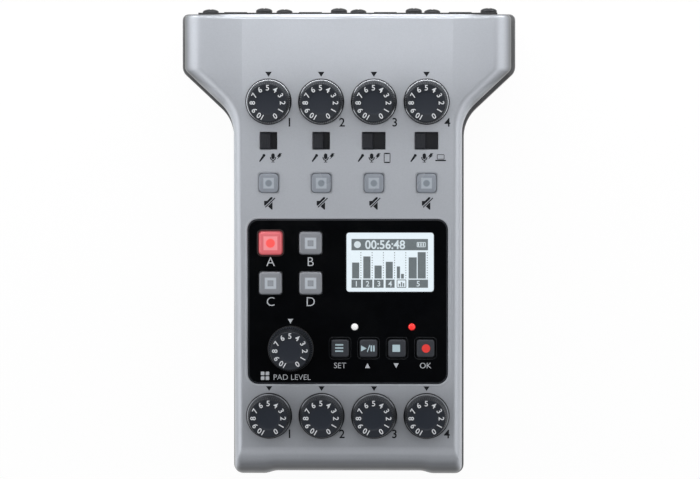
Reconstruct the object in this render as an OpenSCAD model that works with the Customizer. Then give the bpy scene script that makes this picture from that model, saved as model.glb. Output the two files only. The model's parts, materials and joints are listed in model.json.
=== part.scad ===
// Podcast recorder: a T-shaped two-part case with a sloping control panel, four microphone
// sockets at the rear, four headphone jacks at the front, and knobs, slides and keys on top.
// The origin is on the table under the middle of the object. +Y points to the rear sockets.

/* [Case] */
// Room between the outermost microphone socket and the side of the case
wing_margin = 6; // [5.5:0.1:9]
// Width of the waist, where the hand holds the case
waist_w = 77.4; // [77:0.1:84]
// Length of the case from the rear panel's face to the front corners
case_l = 155; // [153:0.1:160]
// Height of the control panel's plane above the table at the rear face
rear_h = 38.3; // [38.2:0.1:42]
// Slope of the control panel towards the user, in degrees
panel_tilt = 2.5; // [2:0.1:4]
// Height of the joint between the two half shells
part_h = 17; // [16:0.1:18.5]
// Thickness of the shells
wall = 2; // [1.8:0.1:2.2]
// Length of the straight sides of the wide rear end
wing_l = 18; // [15:0.5:20]
// Angle of the slanted flanks below the wide rear end, in degrees
wing_angle = 46.8; // [42:0.2:52]
// Radius of the rear corners
rear_corner_r = 2; // [1.5:0.1:3]
// Radius where the straight sides turn into the slanted flanks
wing_corner_r = 4; // [3:0.5:6]
// Radius where the slanted flanks turn into the waist
waist_r = 13; // [10:0.5:16]
// Radius of the front corners
front_corner_r = 3; // [2:0.5:5]
// Depth of the shallow hollow along the front edge
front_dip = 0.9; // [0.5:0.1:1.2]
// Half the width of that hollow
front_dip_half = 24; // [22:0.5:26]

/* [Edges] */
// Width of the dark ledge on which the top cover stands, at the wide rear end
ledge_wing = 1.5; // [1:0.1:1.8]
// Width of that ledge along the waist
ledge_waist = 0.6; // [0.4:0.1:1]
// Width of that ledge at the rear
ledge_rear = 0.2; // [0.1:0.1:0.3]
// Width of that ledge at the front
ledge_front = 0.6; // [0.4:0.1:1]
// Width of the rounded edge at the wide rear end
wing_roll = 6; // [4:0.2:6.4]
// Width of the rounded edge along the waist
waist_roll = 2.6; // [1.8:0.1:3]
// Width of the rounded edge at the rear
rear_roll = 1.2; // [0.8:0.1:1.6]
// Width of the rounded edge at the front
front_roll = 9; // [7:0.2:9.6]
// Slope of the shoulders beside the flat panel, in degrees
shoulder_slope = 5; // [2:0.5:6]
// Radius of the bottom edges
bottom_roll = 3; // [2:0.2:3.6]

/* [Knobs] */
// Distance between the knobs of neighbouring channels, as a share of the waist's width
channel_share = 0.22675; // [0.222:0.0005:0.23]
// Diameter of a knob's skirt
knob_d = 15.4; // [14:0.1:15.8]
// Height of a knob
knob_h = 10; // [9:0.2:12]
// Diameter of a knob's flat top
knob_top_d = 12.8; // [11:0.1:13]
// Ribs around a knob
knob_ribs = 36; // [24:1:44]
// Diameter of a potentiometer's shaft
shaft_d = 6; // [5:0.1:6.4]
// Distance from the rear face to the gain knobs
gain_back = 29.6; // [29.2:0.1:30.4]
// Distance from the front corners to the headphone knobs
phones_ahead = 20.3; // [19.8:0.1:21]

/* [Channel controls] */
// Place of the selector slides between the gain knobs (0) and the headphone knobs (1)
switch_share = 0.1246; // [0.12:0.001:0.13]
// Width of the two-place selector's slot
slot_two_w = 6; // [5.6:0.1:6.4]
// Width of the three-place selector's slot
slot_three_w = 8; // [7.6:0.1:8.2]
// Height of the selector slots along the panel
slot_h = 6; // [5:0.1:6.6]
// Travel of a selector between neighbouring places
switch_step = 2.1; // [1.8:0.1:2.1]
// Place of the mute keys between the gain knobs (0) and the headphone knobs (1)
mute_share = 0.2588; // [0.254:0.001:0.264]
// Side of a mute key
mute_size = 6.4; // [6:0.1:7]

/* [Control window] */
// Silver border of the flat panel beside the black window
window_margin = 1.75; // [1.4:0.05:2.2]
// Height of the window, as a share of the way from the gain knobs to the headphone knobs
window_share = 0.5262; // [0.52:0.001:0.532]
// Middle of the window between the gain knobs (0) and the headphone knobs (1)
window_mid_share = 0.6365; // [0.634:0.001:0.64]
// Corner radius of the window
window_r = 3.5; // [2:0.1:5]
// Thickness of the window
window_t = 0.8; // [0.6:0.05:0.9]
// Side of a sound pad key
pad_size = 7.5; // [7:0.1:8]
// Distance between the sound pad keys
pad_pitch = 13.4; // [13:0.1:13.8]
// Side of a transport key
key_size = 5.8; // [5.4:0.1:6.2]
// Distance between the transport keys
key_pitch = 9.53; // [9.4:0.01:9.7]
// Width of the display's opening
display_w = 29.3; // [28:0.1:30]
// Height of the display's opening
display_l = 19.9; // [19:0.1:20.4]
// Diameter of a status lamp
lamp_d = 2.2; // [1.8:0.1:2.6]
// Travel of a pad or mute key
key_travel = 0.8; // [0.5:0.05:0.8]

/* [Rear sockets] */
// Distance between the microphone sockets
socket_pitch = 25; // [25:0.1:26]
// Bore that takes the microphone plug's shell
socket_bore_d = 19.2; // [18.8:0.1:19.4]
// Diameter of the contact block inside that bore
socket_core_d = 15.2; // [14.8:0.1:15.6]
// Height of the sockets' axis above the table
socket_z = 18.8; // [18.6:0.1:19]
// Distance between a socket's two screws across the case
screw_dx = 19; // [18.8:0.1:19.2]
// Distance between a socket's two screws in height
screw_dz = 24; // [23.8:0.1:24.2]
// Diameter of a socket screw's head
screw_head_d = 5.5; // [5:0.1:5.6]
// Height of a socket screw's head
screw_head_h = 1.6; // [1.2:0.1:2]

/* [Other sockets] */
// Bore of the headphone and phone jacks
jack_bore_d = 3.6; // [3.5:0.05:3.8]
// Length of that bore
jack_bore_l = 11; // [9:0.5:11.5]
// Width of the bus port's opening
bus_port_w = 8.3; // [8:0.1:8.6]
// Width of the memory card's slot
card_slot_w = 24.4; // [24.2:0.1:25]
// Travel of the power slide
power_travel = 3; // [2:0.1:3]
// Distance from the front corners to the supply port
supply_ahead = 22.8; // [22.5:0.1:24]
// Distance from the front corners to the data port
data_ahead = 32.8; // [31:0.1:35]
// Distance from the front corners to the card slot
card_ahead = 42.8; // [42:0.1:44]
// Distance from the front corners to the phone jack
phone_ahead = 50.8; // [48:0.1:53]

/* [Batteries and feet] */
// Diameter of a battery cell
cell_d = 14.3; // [13.8:0.1:14.5]
// Length of a battery cell without its nub
cell_l = 49.2; // [48.5:0.1:49.6]
// Gap between the case and the table
foot_h = 1.5; // [1.2:0.1:2]
// Diameter of a rubber foot
foot_d = 9; // [7:0.5:10]

/* [Hidden] */
CHANNELS = [0:3];
function numbered(stem) = [for (i = CHANNELS) str(stem, "_", i + 1)];
PAD_LETTERS = ["a", "b", "c", "d"];
KEY_NAMES = ["menu_key", "play_key", "stop_key", "record_key"];
$fn = 64;
EPS = 0.01;

// Clearances
run_gap = 0.05;       // shaft in its bush
slide_gap = 0.3;      // key or lever in its opening
seat_gap = 0.15;      // key flange under the panel that stops it
fit_gap = 0.1;        // fixed piece in its seat
cut_over = 1;         // how far a cutter reaches past what it cuts

// Case outline
case_w = 4 * socket_pitch + 2 * wing_margin;
y_front = -(case_l + screw_head_h) / 2;
y_rear = y_front + case_l;
panel_proud = 0.3;    // how far the rear panel stands out of the shells
y_shell = y_rear - panel_proud;
y_wing = y_rear - wing_l;
dip_run = 4.5;        // length of each end of the front hollow
case_floor = foot_h + wall;
crease_gap = 0.3;     // the shoulder's width along the waist
flat_half = waist_w / 2 - ledge_waist - waist_roll - crease_gap;
ledge_round = 0.5;    // rounding of the ledge's edge
panel_z0 = rear_h - y_rear * tan(panel_tilt);
waist_inner = waist_w / 2 - wall;

// Rows of controls along and across the panel
knob_pitch = channel_share * waist_w;
gain_y = y_rear - gain_back;
phones_y = y_front + phones_ahead;
rows_l = gain_y - phones_y;
switch_y = gain_y - switch_share * rows_l;
mute_y = gain_y - mute_share * rows_l;
window_y = gain_y - window_mid_share * rows_l;
window_l = window_share * rows_l;
window_w = 2 * (flat_half - window_margin);
ARC_STEPS = 6;
ROLL_STEPS = 6;

// Stack under the control panel, measured down from its surface
board_top = 10.5;
board_t = 1.6;
pot_h = 6.4;
bush_h = 1.7;
switch_h = 3.4;
key_switch_w = 6;
plunger_d = 3.2;
plunger_h = 1.2;
window_sunk = 0.25;
window_seat = window_sunk + window_t + fit_gap;
flange_t = 1;
flange_lip = 0.9;
lever_plate_t = 0.8;

// Lower board and what stands on it
lower_board_z = case_floor + 2;
lower_board_top = lower_board_z + board_t;
jack_w = 5;
jack_h = 5;
jack_nose_d = 5;
plug_hole_d = 5.6;
grip_d = 9;           // shallow seat around a jack's opening
grip_depth = 0.6;
jack_nose_l = wall + fit_gap - grip_depth;
jack_l = jack_bore_l + 1.5;
jack_z = lower_board_top + jack_h / 2;
port_wall = 0.4;
bus_port_h = 2.5;
bus_port_l = 7.4;
bus_port_z = lower_board_top + bus_port_h / 2 + port_wall;
card_slot_h = 2.5;
card_wall = 0.5;
card_l = 28;
card_z = lower_board_top + card_slot_h / 2 + card_wall;

// Places of the ports along the case, from the front corners
supply_port_y = y_front + supply_ahead;
data_port_y = y_front + data_ahead;
card_y = y_front + card_ahead;
phone_jack_y = y_front + phone_ahead;
power_y = -6;

// Rear panel and sockets
rear_panel_t = 2.5;
rear_open_w = 4 * socket_pitch;
rear_open_half_h = 15.1;
rear_open_z0 = socket_z - rear_open_half_h;
rear_open_z1 = socket_z + rear_open_half_h;
barrel_d = socket_bore_d + 2.2;
flange_y = y_rear - rear_panel_t - fit_gap;
socket_flange_t = 3;
socket_l = 19.5;
socket_box_w = 22;
tab_w = 9;
tab_h = 2.6;
tab_z = socket_z + 12.9;
tab_travel = 1.2;
screw_shank_d = 2.9;

// Battery bay
bay_y = 3.5;
cell_pitch = cell_d + 0.5;
bay_half_l = cell_pitch + 0.6;
contact_t = 0.5;
contact_room = 2.6;
nub_l = 1;
bay_half_w = cell_l / 2 + contact_room;
bay_wall = 1.2;
bay_outer_half_w = bay_half_w + bay_wall;
bay_outer_half_l = bay_half_l + bay_wall;
cell_z = case_floor + 0.3 + cell_d / 2;
cover_lip = 1.6;
cover_half_w = bay_half_w + cover_lip;
cover_half_l = bay_half_l + cover_lip;

// Screws, bosses and feet
boss_d = 5;
boss_x = waist_w / 2 - 5.4;
boss_ahead = 7.5;     // from the front corners to the front bosses
case_screw_d = 2.2;
case_head_d = 4;
case_head_h = 1.8;
case_head_z = 6;
screw_bite = 8;
post_d = 4;
board_screw_d = 1.8;
board_head_d = 3.4;
board_head_h = 1.2;
board_bite = 5;
BOSSES = [
    for (side = [-1, 1]) each [
        [side * boss_x, y_front + boss_ahead],
        [side * (waist_w / 2 + 1.8), y_wing - 9.4]
    ]
];
board_edge = 1.2;     // room between the upper board and the top cover's walls
board_ahead = 8;      // how far it reaches past the headphone knobs' axes
board_behind = 6.6;   // how far it reaches past the gain knobs' axes
board_half_w = waist_w / 2 - ledge_waist - wall - board_edge;
post_x = board_half_w - 3.1;
POSTS = [
    for (side = [-1, 1], y = [(switch_y + mute_y) / 2, window_y - window_l / 2 - 0.5]) [side * post_x, y]
];
FEET = [
    for (side = [-1, 1]) each [
        [side * (waist_w / 2 - 11.7), y_front + 15.5],
        [side * (case_w / 2 - 12), y_rear - 14]
    ]
];
foot_sink = 0.6;

// Outlines: a list of points around the case, from the middle of the rear, clockwise from above

function arc(c, r, a0, a1, n = ARC_STEPS) =
    [for (i = [0:n]) let (a = a0 + (a1 - a0) * i / n) [c.x + r * cos(a), c.y + r * sin(a)]];

function ease(s) = s * s * (3 - 2 * s);

// Right half of the outline, for half widths hw and ww, rear and front at yr and yf
function half_outline(hw, ww, yr, yf, r1, r2, r3, r4, dip) =
    let (
        a = wing_angle,
        flank = ww + r3 + r2 - hw - (r2 + r3) * cos(a),
        y_waist = y_wing - (r2 + r3) * sin(a) + flank / tan(a),
        dip_start = front_dip_half + dip_run
    )
    concat(
        arc([hw - r1, yr - r1], r1, 90, 0),
        arc([hw - r2, y_wing], r2, 0, -a),
        arc([ww + r3, y_waist], -r3, -a, 0, 2 * ARC_STEPS),
        arc([ww - r4, yf + r4], r4, 0, -90),
        [for (i = [0:ARC_STEPS]) let (s = i / ARC_STEPS) [dip_start - dip_run * s, yf + dip * ease(s)]]
    );

// Whole outline, drawn in by dw at the wide end, dn at the waist, dr at the rear and df at the front
function outline(dw, dn, dr, df, dip = front_dip) =
    let (half = half_outline(
        case_w / 2 - dw, waist_w / 2 - dn, y_shell - dr, y_front + df,
        max(rear_corner_r - min(dw, dr), 0.6), max(wing_corner_r - dw, 1),
        waist_r + dn, max(front_corner_r - dn, 0.8), dip
    ))
    concat(
        [[0, y_shell - dr]], half, [[0, y_front + df + dip]],
        [for (i = [len(half) - 1:-1:0]) [-half[i].x, half[i].y]]
    );

function at_height(points, z) = [for (p = points) [p.x, p.y, z]];

function panel_at(y) = panel_z0 + y * tan(panel_tilt);

// Edge of the flat panel inside the shoulder line, both from the same points
function crease(points, half_w) =
    let (
        y1 = points[0].y,
        y0 = min([for (p = points) p.y]),
        mid = (y0 + y1) / 2,
        k = 1 - 2 * crease_gap / (y1 - y0)
    )
    [for (p = points) [sign(p.x) * min(abs(p.x), half_w), mid + (p.y - mid) * k]];

// Rings of a lid that rolls over from its wall to its shoulders and to a flat top, lowered by depth
function lid_rings(low_z, wall_line, shoulder, half_w, depth) =
    let (
        top = crease(shoulder, half_w),
        zs = [for (i = [0:len(shoulder) - 1])
            panel_at(shoulder[i].y) - depth - norm(shoulder[i] - top[i]) * tan(shoulder_slope)],
        z0 = [for (i = [0:len(shoulder) - 1])
            max(zs[i] - norm(shoulder[i] - wall_line[i]), low_z + 1.5)]
    )
    concat(
        [at_height(wall_line, low_z)],
        [for (k = [0:ROLL_STEPS]) let (a = 90 * k / ROLL_STEPS) [
            for (i = [0:len(shoulder) - 1])
                let (p = wall_line[i] + (shoulder[i] - wall_line[i]) * (1 - cos(a)))
                [p.x, p.y, z0[i] + (zs[i] - z0[i]) * sin(a)]
        ]],
        [[for (p = top) [p.x, p.y, panel_at(p.y) - depth]]]
    );

// Solid through a stack of rings with the same number of points
module loft(rings) {
    n = len(rings[0]);
    last = (len(rings) - 1) * n;
    sides = [
        for (k = [0:len(rings) - 2], i = [0:n - 1])
            let (a = k * n + i, b = k * n + (i + 1) % n)
            each [[a, b, b + n], [a, b + n, a + n]]
    ];
    polyhedron(
        points = [for (ring = rings) each ring],
        faces = concat(
            [concat([0], [for (i = [n - 1:-1:1]) i])],
            sides,
            [[for (i = [0:n - 1]) last + i]]
        )
    );
}

module top_cover_outside() {
    loft(lid_rings(
        part_h,
        outline(ledge_wing, ledge_waist, ledge_rear, ledge_front),
        outline(ledge_wing + wing_roll, ledge_waist + waist_roll, ledge_rear + rear_roll,
            ledge_front + front_roll, 0),
        flat_half, 0
    ));
}

module top_cover_inside() {
    inner = 0.4 * wall;
    loft(lid_rings(
        part_h - cut_over,
        outline(ledge_wing + wall, ledge_waist + wall, ledge_rear + wall, ledge_front + wall),
        outline(ledge_wing + wing_roll + inner, ledge_waist + waist_roll + inner,
            ledge_rear + wall + inner, ledge_front + front_roll + inner, 0),
        flat_half - inner, wall
    ));
}

module bottom_cover_outside() {
    function line(d) = outline(d, d, d, d);
    loft(concat(
        [for (k = [0:ROLL_STEPS]) let (a = 90 * k / ROLL_STEPS)
            at_height(line(bottom_roll * (1 - sin(a))), foot_h + bottom_roll * (1 - cos(a)))],
        [at_height(line(0), part_h - ledge_round), at_height(line(ledge_round / 2), part_h)]
    ));
}

module bottom_cover_inside() {
    function line(d) = outline(d, d, d, d);
    loft([
        at_height(line(wall + 0.8 * bottom_roll), case_floor),
        at_height(line(wall + 0.25 * bottom_roll), case_floor + 0.25 * bottom_roll),
        at_height(line(wall), case_floor + 0.8 * bottom_roll),
        at_height(line(wall), part_h + cut_over)
    ]);
}

// Shared shapes

module on_panel(x = 0, y = 0) {
    translate([0, 0, panel_z0]) rotate([panel_tilt, 0, 0]) translate([x, y, 0]) children();
}

module rounded_square(w, h, r) {
    square([w - 2 * r, h], center = true);
    square([w, h - 2 * r], center = true);
    for (sx = [-1, 1], sy = [-1, 1])
        translate([sx * (w / 2 - r), sy * (h / 2 - r)]) circle(r);
}

// Plate with rounded corners between two heights
module plate(w, h, r, z0, z1) {
    translate([0, 0, z0]) linear_extrude(z1 - z0) rounded_square(w, h, r);
}

// Block centred in x and y between two heights
module block(w, h, z0, z1) {
    translate([-w / 2, -h / 2, z0]) cube([w, h, z1 - z0]);
}

function channel_x(i) = (i - 1.5) * knob_pitch;
function socket_x(i) = (i - 1.5) * socket_pitch;
function slot_w(i) = i < 2 ? slot_two_w : slot_three_w;
function slot_travel(i) = i < 2 ? switch_step : 2 * switch_step;
function pad_place(i) = [pad_x + (i % 2 - 0.5) * pad_pitch, pads_y - (floor(i / 2) - 0.5) * pad_pitch];
function key_x(i) = keys_x + (i - 1.5) * key_pitch;

// Places in the window, as shares of its width and height from its middle
pad_x = -0.2849 * window_w;
pads_y = window_y + 0.2342 * window_l;
pad_knob_y = window_y - 0.2839 * window_l;
display_x = 0.2115 * window_w;
display_y = window_y + 0.2387 * window_l;
keys_x = 0.1749 * window_w;
keys_y = window_y - 0.2821 * window_l;
lamp_y = window_y - 0.1528 * window_l;
lamp_x = [0.0344 * window_w, 0.3199 * window_w];
key_well = key_size + 1.4;          // shallow well around a transport key
key_well_depth = 0.35;
POT_PLACES = concat(
    [for (i = CHANNELS) [channel_x(i), gain_y]],
    [for (i = CHANNELS) [channel_x(i), phones_y]],
    [[pad_x, pad_knob_y]]
);
MUTE_PLACES = [for (i = CHANNELS) [channel_x(i), mute_y]];
PAD_PLACES = [for (i = CHANNELS) pad_place(i)];
KEY_PLACES = [for (i = CHANNELS) [key_x(i), keys_y]];
shaft_hole_d = shaft_d + 1;
pad_r = 1.1;
mute_r = 1.3;
key_r = 0.9;
mute_proud = 0.9;
pad_proud = 1.4;
key_proud = 0.7;

// Openings for every control, cut down through the panel; grow widens them
module control_openings(grow, depth) {
    for (p = POT_PLACES)
        translate([p.x, p.y, -depth]) cylinder(d = shaft_hole_d + 2 * grow, h = depth + cut_over);
    wider = 2 * (slide_gap + grow);
    for (p = MUTE_PLACES) translate(p)
        plate(mute_size + wider, mute_size + wider, mute_r, -depth, cut_over);
    for (p = PAD_PLACES) translate(p)
        plate(pad_size + wider, pad_size + wider, pad_r, -depth, cut_over);
    for (p = KEY_PLACES) translate(p)
        plate(key_size + wider, key_size + wider, key_r, -depth, cut_over);
    for (x = lamp_x)
        translate([x, lamp_y, -depth]) cylinder(d = lamp_d + 2 * (fit_gap + grow), h = depth + cut_over);
    translate([display_x, display_y])
        plate(display_w + 2 * grow, display_l + 2 * grow, 1, -depth, cut_over);
}

// Case

module top_cover() color("silver") {
    difference() {
        union() {
            difference() {
                top_cover_outside();
                top_cover_inside();
            }
            intersection() {
                top_cover_outside();
                union() {
                    for (p = BOSSES) translate([p.x, p.y, part_h]) cylinder(d = boss_d, h = rear_h);
                    on_panel() for (p = POSTS)
                        translate([p.x, p.y, -board_top]) cylinder(d = post_d, h = board_top - wall / 2);
                }
            }
        }
        on_panel() {
            control_openings(0.2, wall + cut_over);
            translate([0, window_y]) plate(
                window_w + 2 * fit_gap, window_l + 2 * fit_gap, window_r + fit_gap, -window_seat, cut_over
            );
            for (i = CHANNELS) translate([channel_x(i), switch_y])
                plate(slot_w(i), slot_h, 0.3, -wall - cut_over, cut_over);
            for (p = POSTS)
                translate([p.x, p.y, -board_top - EPS])
                    cylinder(d = board_screw_d + 2 * run_gap, h = board_bite + 1);
        }
        for (p = BOSSES)
            translate([p.x, p.y, part_h - EPS]) cylinder(d = case_screw_d + 2 * run_gap, h = screw_bite + 1);
        rear_opening();
    }
}

// The opening in both shells that the rear panel closes
module rear_opening() {
    inward = 8;
    translate([-rear_open_w / 2, y_shell - inward, rear_open_z0])
        cube([rear_open_w, inward + cut_over, rear_open_z1 - rear_open_z0]);
}

module bottom_cover() color("#3a3b3e") {
    rim_h = 1.5;
    difference() {
        union() {
            difference() {
                bottom_cover_outside();
                bottom_cover_inside();
            }
            for (p = BOSSES) translate([p.x, p.y, case_floor - EPS])
                cylinder(d = boss_d + 0.8, h = part_h - case_floor + EPS);
            translate([0, bay_y]) {
                block(2 * (cover_half_w + 1), 2 * (cover_half_l + 1), case_floor - EPS, case_floor + rim_h);
                block(2 * bay_outer_half_w, 2 * bay_outer_half_l, case_floor, cell_z + cell_d / 4);
            }
            for (p = LOWER_BOARD_RESTS) translate([p.x, p.y, case_floor - EPS])
                cylinder(d = post_d, h = lower_board_z - case_floor + EPS);
        }
        for (p = BOSSES) translate([p.x, p.y, foot_h - cut_over]) {
            cylinder(d = case_screw_d + 0.4, h = part_h);
            cylinder(d = case_head_d + 0.6, h = cut_over + case_head_z - foot_h);
        }
        translate([0, bay_y]) {
            block(2 * bay_half_w, 2 * bay_half_l, foot_h - cut_over, part_h);
            block(2 * (cover_half_w + slide_gap), 2 * (cover_half_l + slide_gap),
                foot_h - cut_over, case_floor);
        }
        for (p = FEET) translate([p.x, p.y, foot_h - cut_over])
            cylinder(d = foot_d + 2 * fit_gap, h = cut_over + foot_sink);
        rear_opening();
        jack_openings();
        port_openings();
    }
}

// Round openings for the plugs of the headphone and phone jacks
module jack_openings() {
    for (i = CHANNELS) translate([channel_x(i), y_front + front_dip, jack_z]) rotate([90, 0, 0])
        jack_opening();
    translate([-waist_w / 2, phone_jack_y, jack_z]) rotate([0, -90, 0]) jack_opening();
}

// A many-sided hole for the jack's nose, with a shallow seat around it
module jack_opening() {
    translate([0, 0, -wall - cut_over])
        linear_extrude(wall + 2 * cut_over) polygon(ribbed(plug_hole_d / 2, 12, 0));
    translate([0, 0, -grip_depth]) cylinder(d = grip_d, h = grip_depth + cut_over);
}

// Openings in the side walls for the bus ports, the card and the power slide
module port_openings() {
    reach = wall + 2 * cut_over;
    module side_slot(side, y, z, w, h, r)
        translate([side * (waist_w / 2 + cut_over), y, z]) rotate([0, -side * 90, 0]) rotate([0, 0, 90])
            plate(w, h, r, 0, reach);
    side_slot(-1, data_port_y, bus_port_z, bus_port_w + 1.4, bus_port_h + 1.4, 1.9);
    side_slot(1, supply_port_y, bus_port_z, bus_port_w + 1.4, bus_port_h + 1.4, 1.9);
    side_slot(1, card_y, card_z, card_slot_w + 0.6, card_slot_h + 0.6, 0.5);
    side_slot(1, power_y + power_travel / 2, power_z, power_slot_l, power_slot_h, 1);
}

// Board rests in the bottom cover
LOWER_BOARD_RESTS = [
    for (side = [-1, 1]) each [
        [side * (waist_inner - 16), y_front + front_dip + wall + jack_l + post_d],
        [side * (waist_inner - 6.7), bay_y - bay_half_l - 6],
        [side * (waist_inner - 6.7), bay_y + bay_half_l + 9],
        [side * (waist_inner - 6.7), y_wing - 5]
    ]
];

module rear_panel() color("#1b1c1e") {
    lip = 0.7;
    lip_root = 1;
    lip_t = 1.8;
    lip_y = y_shell - ledge_rear - wall - fit_gap - lip_t;
    difference() {
        union() {
            translate([-rear_open_w / 2 + fit_gap, y_rear - rear_panel_t, rear_open_z0 + fit_gap])
                cube([rear_open_w - 2 * fit_gap, rear_panel_t, rear_open_z1 - rear_open_z0 - 2 * fit_gap]);
            for (side = [-1, 1]) {
                translate([side * (rear_open_w / 2 + (lip - lip_root) / 2), lip_y + lip_t / 2])
                    block(lip + lip_root, lip_t, rear_open_z0 + 3.2, rear_open_z1 - 0.5);
                translate([side * (rear_open_w / 2 - (lip_root + fit_gap) / 2), (lip_y + y_rear) / 2 - 0.2])
                    block(lip_root - fit_gap, y_rear - lip_y - 0.4, rear_open_z0 + 3.2, rear_open_z1 - 0.5);
            }
        }
        for (i = CHANNELS) translate([socket_x(i), y_rear, socket_z]) rotate([90, 0, 0]) {
            translate([0, 0, -cut_over]) cylinder(d = barrel_d + 2 * fit_gap, h = 4 * rear_panel_t);
            for (s = [-1, 1]) translate([s * screw_dx / 2, s * screw_dz / 2, -cut_over])
                cylinder(d = screw_shank_d + 0.4, h = 4 * rear_panel_t);
        }
        for (i = CHANNELS) translate([socket_x(i), y_rear - rear_panel_t / 2, 0])
            block(tab_w + 2 * slide_gap, 2 * rear_panel_t,
                tab_z - tab_h / 2 - slide_gap, tab_z + tab_h / 2 + slide_gap);
    }
}

module control_window() color("#050506") on_panel() {
    difference() {
        translate([0, window_y])
            plate(window_w, window_l, window_r, -window_sunk - window_t, -window_sunk);
        control_openings(0, window_seat + cut_over);
        for (p = KEY_PLACES) translate(p)
            plate(key_well, key_well, key_r + 0.4, -window_sunk - key_well_depth, cut_over);
    }
}

module display_module() color("#dfe8ee") on_panel(display_x, display_y) {
    frame_margin = 3;
    glass_sunk = 0.2;
    frame_top = -wall - seat_gap;
    plate(display_w - 2 * fit_gap, display_l - 2 * fit_gap, 0.9, frame_top - EPS, -window_sunk - glass_sunk);
    plate(display_w + 2 * frame_margin, display_l + 2 * frame_margin, 1, -board_top, frame_top);
}

module status_lamps() color("white") on_panel() {
    lens_proud = 0.1;
    foot_top = board_top - wall - 1 - seat_gap;
    for (x = lamp_x) translate([x, lamp_y, -board_top]) {
        cylinder(d = lamp_d, h = board_top - window_sunk + lens_proud);
        cylinder(d = lamp_d + 1, h = foot_top);
    }
}

// Knobs and their shafts

knob_gap = 0.4;                    // air under a knob's skirt
skirt_h = 1.1;
rib_depth = 0.3;
knob_grip_d = knob_d - 1;
cap_inset = 0.1;
cap_taper = 0.4;
cap_h = 1;
shaft_reach = 6;                   // how far the shaft goes into the knob

function ribbed(r, n, depth) =
    [for (i = [0:2 * n - 1]) let (a = 180 * i / n, q = i % 2 == 0 ? r : r - depth) [q * cos(a), q * sin(a)]];

module knob() color("#26272b") translate([0, 0, knob_gap]) {
    grip_h = knob_h - knob_gap - skirt_h - cap_h;
    difference() {
        union() {
            cylinder(d = knob_d, h = skirt_h);
            translate([0, 0, skirt_h])
                linear_extrude(grip_h, scale = knob_top_d / knob_grip_d)
                    polygon(ribbed(knob_grip_d / 2, knob_ribs, rib_depth));
            translate([0, 0, skirt_h + grip_h])
                cylinder(d1 = knob_top_d - cap_inset, d2 = knob_top_d - cap_inset - cap_taper, h = cap_h);
        }
        translate([0, 0, -cut_over]) cylinder(d = shaft_d + 2 * run_gap, h = shaft_reach + cut_over + 0.2);
    }
}

module shaft() color("lightgray") {
    foot = board_top - 1;
    translate([0, 0, -foot]) cylinder(d = shaft_d, h = foot + knob_gap + shaft_reach);
}

module pot_bodies() color("#39623f") on_panel() {
    pot_w = 9.8;
    pot_l = 11;
    for (p = POT_PLACES) translate(p) difference() {
        union() {
            block(pot_w, pot_l, -board_top, -board_top + pot_h);
            translate([0, 0, -board_top + pot_h - EPS]) cylinder(d = shaft_d + 2, h = bush_h);
        }
        translate([0, 0, -board_top + 1 - fit_gap]) cylinder(d = shaft_d + 2 * run_gap, h = pot_h + bush_h);
    }
}

// Selector slides

lever_w = 3.5;
lever_l = slot_h - 2 * slide_gap;
lever_proud = 0.8;
stem_w = 2.4;
lever_plate_top = wall + slide_gap;
switch_top = board_top - 4;

function lever_rest(i) = -slot_travel(i) / 2;

module selector_lever(i) color("#202125") on_panel(channel_x(i) + lever_rest(i), switch_y) {
    plate_w = slot_w(i) + slot_travel(i) + 0.6;
    block(lever_w, lever_l, -lever_plate_top - lever_plate_t, lever_proud);
    block(plate_w, slot_h + 1.2, -lever_plate_top - lever_plate_t, -lever_plate_top);
    block(stem_w, stem_w, -switch_top - 1.5, -lever_plate_top - lever_plate_t + EPS);
}

module slide_switch_bodies() color("#5d6166") {
    on_panel() for (i = CHANNELS) translate([channel_x(i), switch_y]) difference() {
        block(slot_travel(i) + stem_w + 5, slot_h + 1, -board_top, -switch_top);
        block(slot_travel(i) + stem_w + 2 * slide_gap, stem_w + 2 * slide_gap,
            -switch_top - 2, -switch_top + cut_over);
    }
    difference() {
        translate([power_body_x, power_y + power_travel / 2])
            block(power_body_w, power_slot_l + 3, lower_board_top, power_z + 2.4);
        translate([power_body_x + power_body_w / 2, power_y + power_travel / 2])
            block(2 * power_pocket, power_travel + stem_w + 2 * slide_gap,
                power_z - stem_w / 2 - slide_gap, power_z + stem_w / 2 + slide_gap);
    }
}

// Keys: a cap, a flange that stops it under the panel and a stem over its switch

module key_cap(size, r, proud) {
    flange_top = wall + seat_gap;
    plunger_top = board_top - switch_h - plunger_h;
    stem_end = plunger_top - key_travel - seat_gap;
    plate(size, size, r, -flange_top - EPS, proud - 0.35);
    plate(size - 0.7, size - 0.7, r, proud - 0.35 - EPS, proud);
    block(size + 2 * flange_lip, size + 2 * flange_lip, -flange_top - flange_t, -flange_top);
    translate([0, 0, -stem_end]) cylinder(d = 3, h = stem_end - flange_top - flange_t + EPS);
}

module mute_key(i) color("#aeb3b9")
    on_panel(MUTE_PLACES[i].x, MUTE_PLACES[i].y) key_cap(mute_size, mute_r, mute_proud);

module sound_pad(i) color(i == 0 ? "#f4605f" : "#8d8f92")
    on_panel(PAD_PLACES[i].x, PAD_PLACES[i].y) key_cap(pad_size, pad_r, pad_proud);

module transport_key(i) color("#2a2c30")
    on_panel(KEY_PLACES[i].x, KEY_PLACES[i].y) key_cap(key_size, key_r, key_proud);

module key_switches() color("#202020") on_panel() {
    for (p = concat(MUTE_PLACES, PAD_PLACES, KEY_PLACES)) translate(p) {
        block(key_switch_w, key_switch_w, -board_top, -board_top + switch_h);
        translate([0, 0, -board_top + switch_h - EPS]) cylinder(d = plunger_d, h = plunger_h + EPS);
    }
}

// Boards

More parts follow.
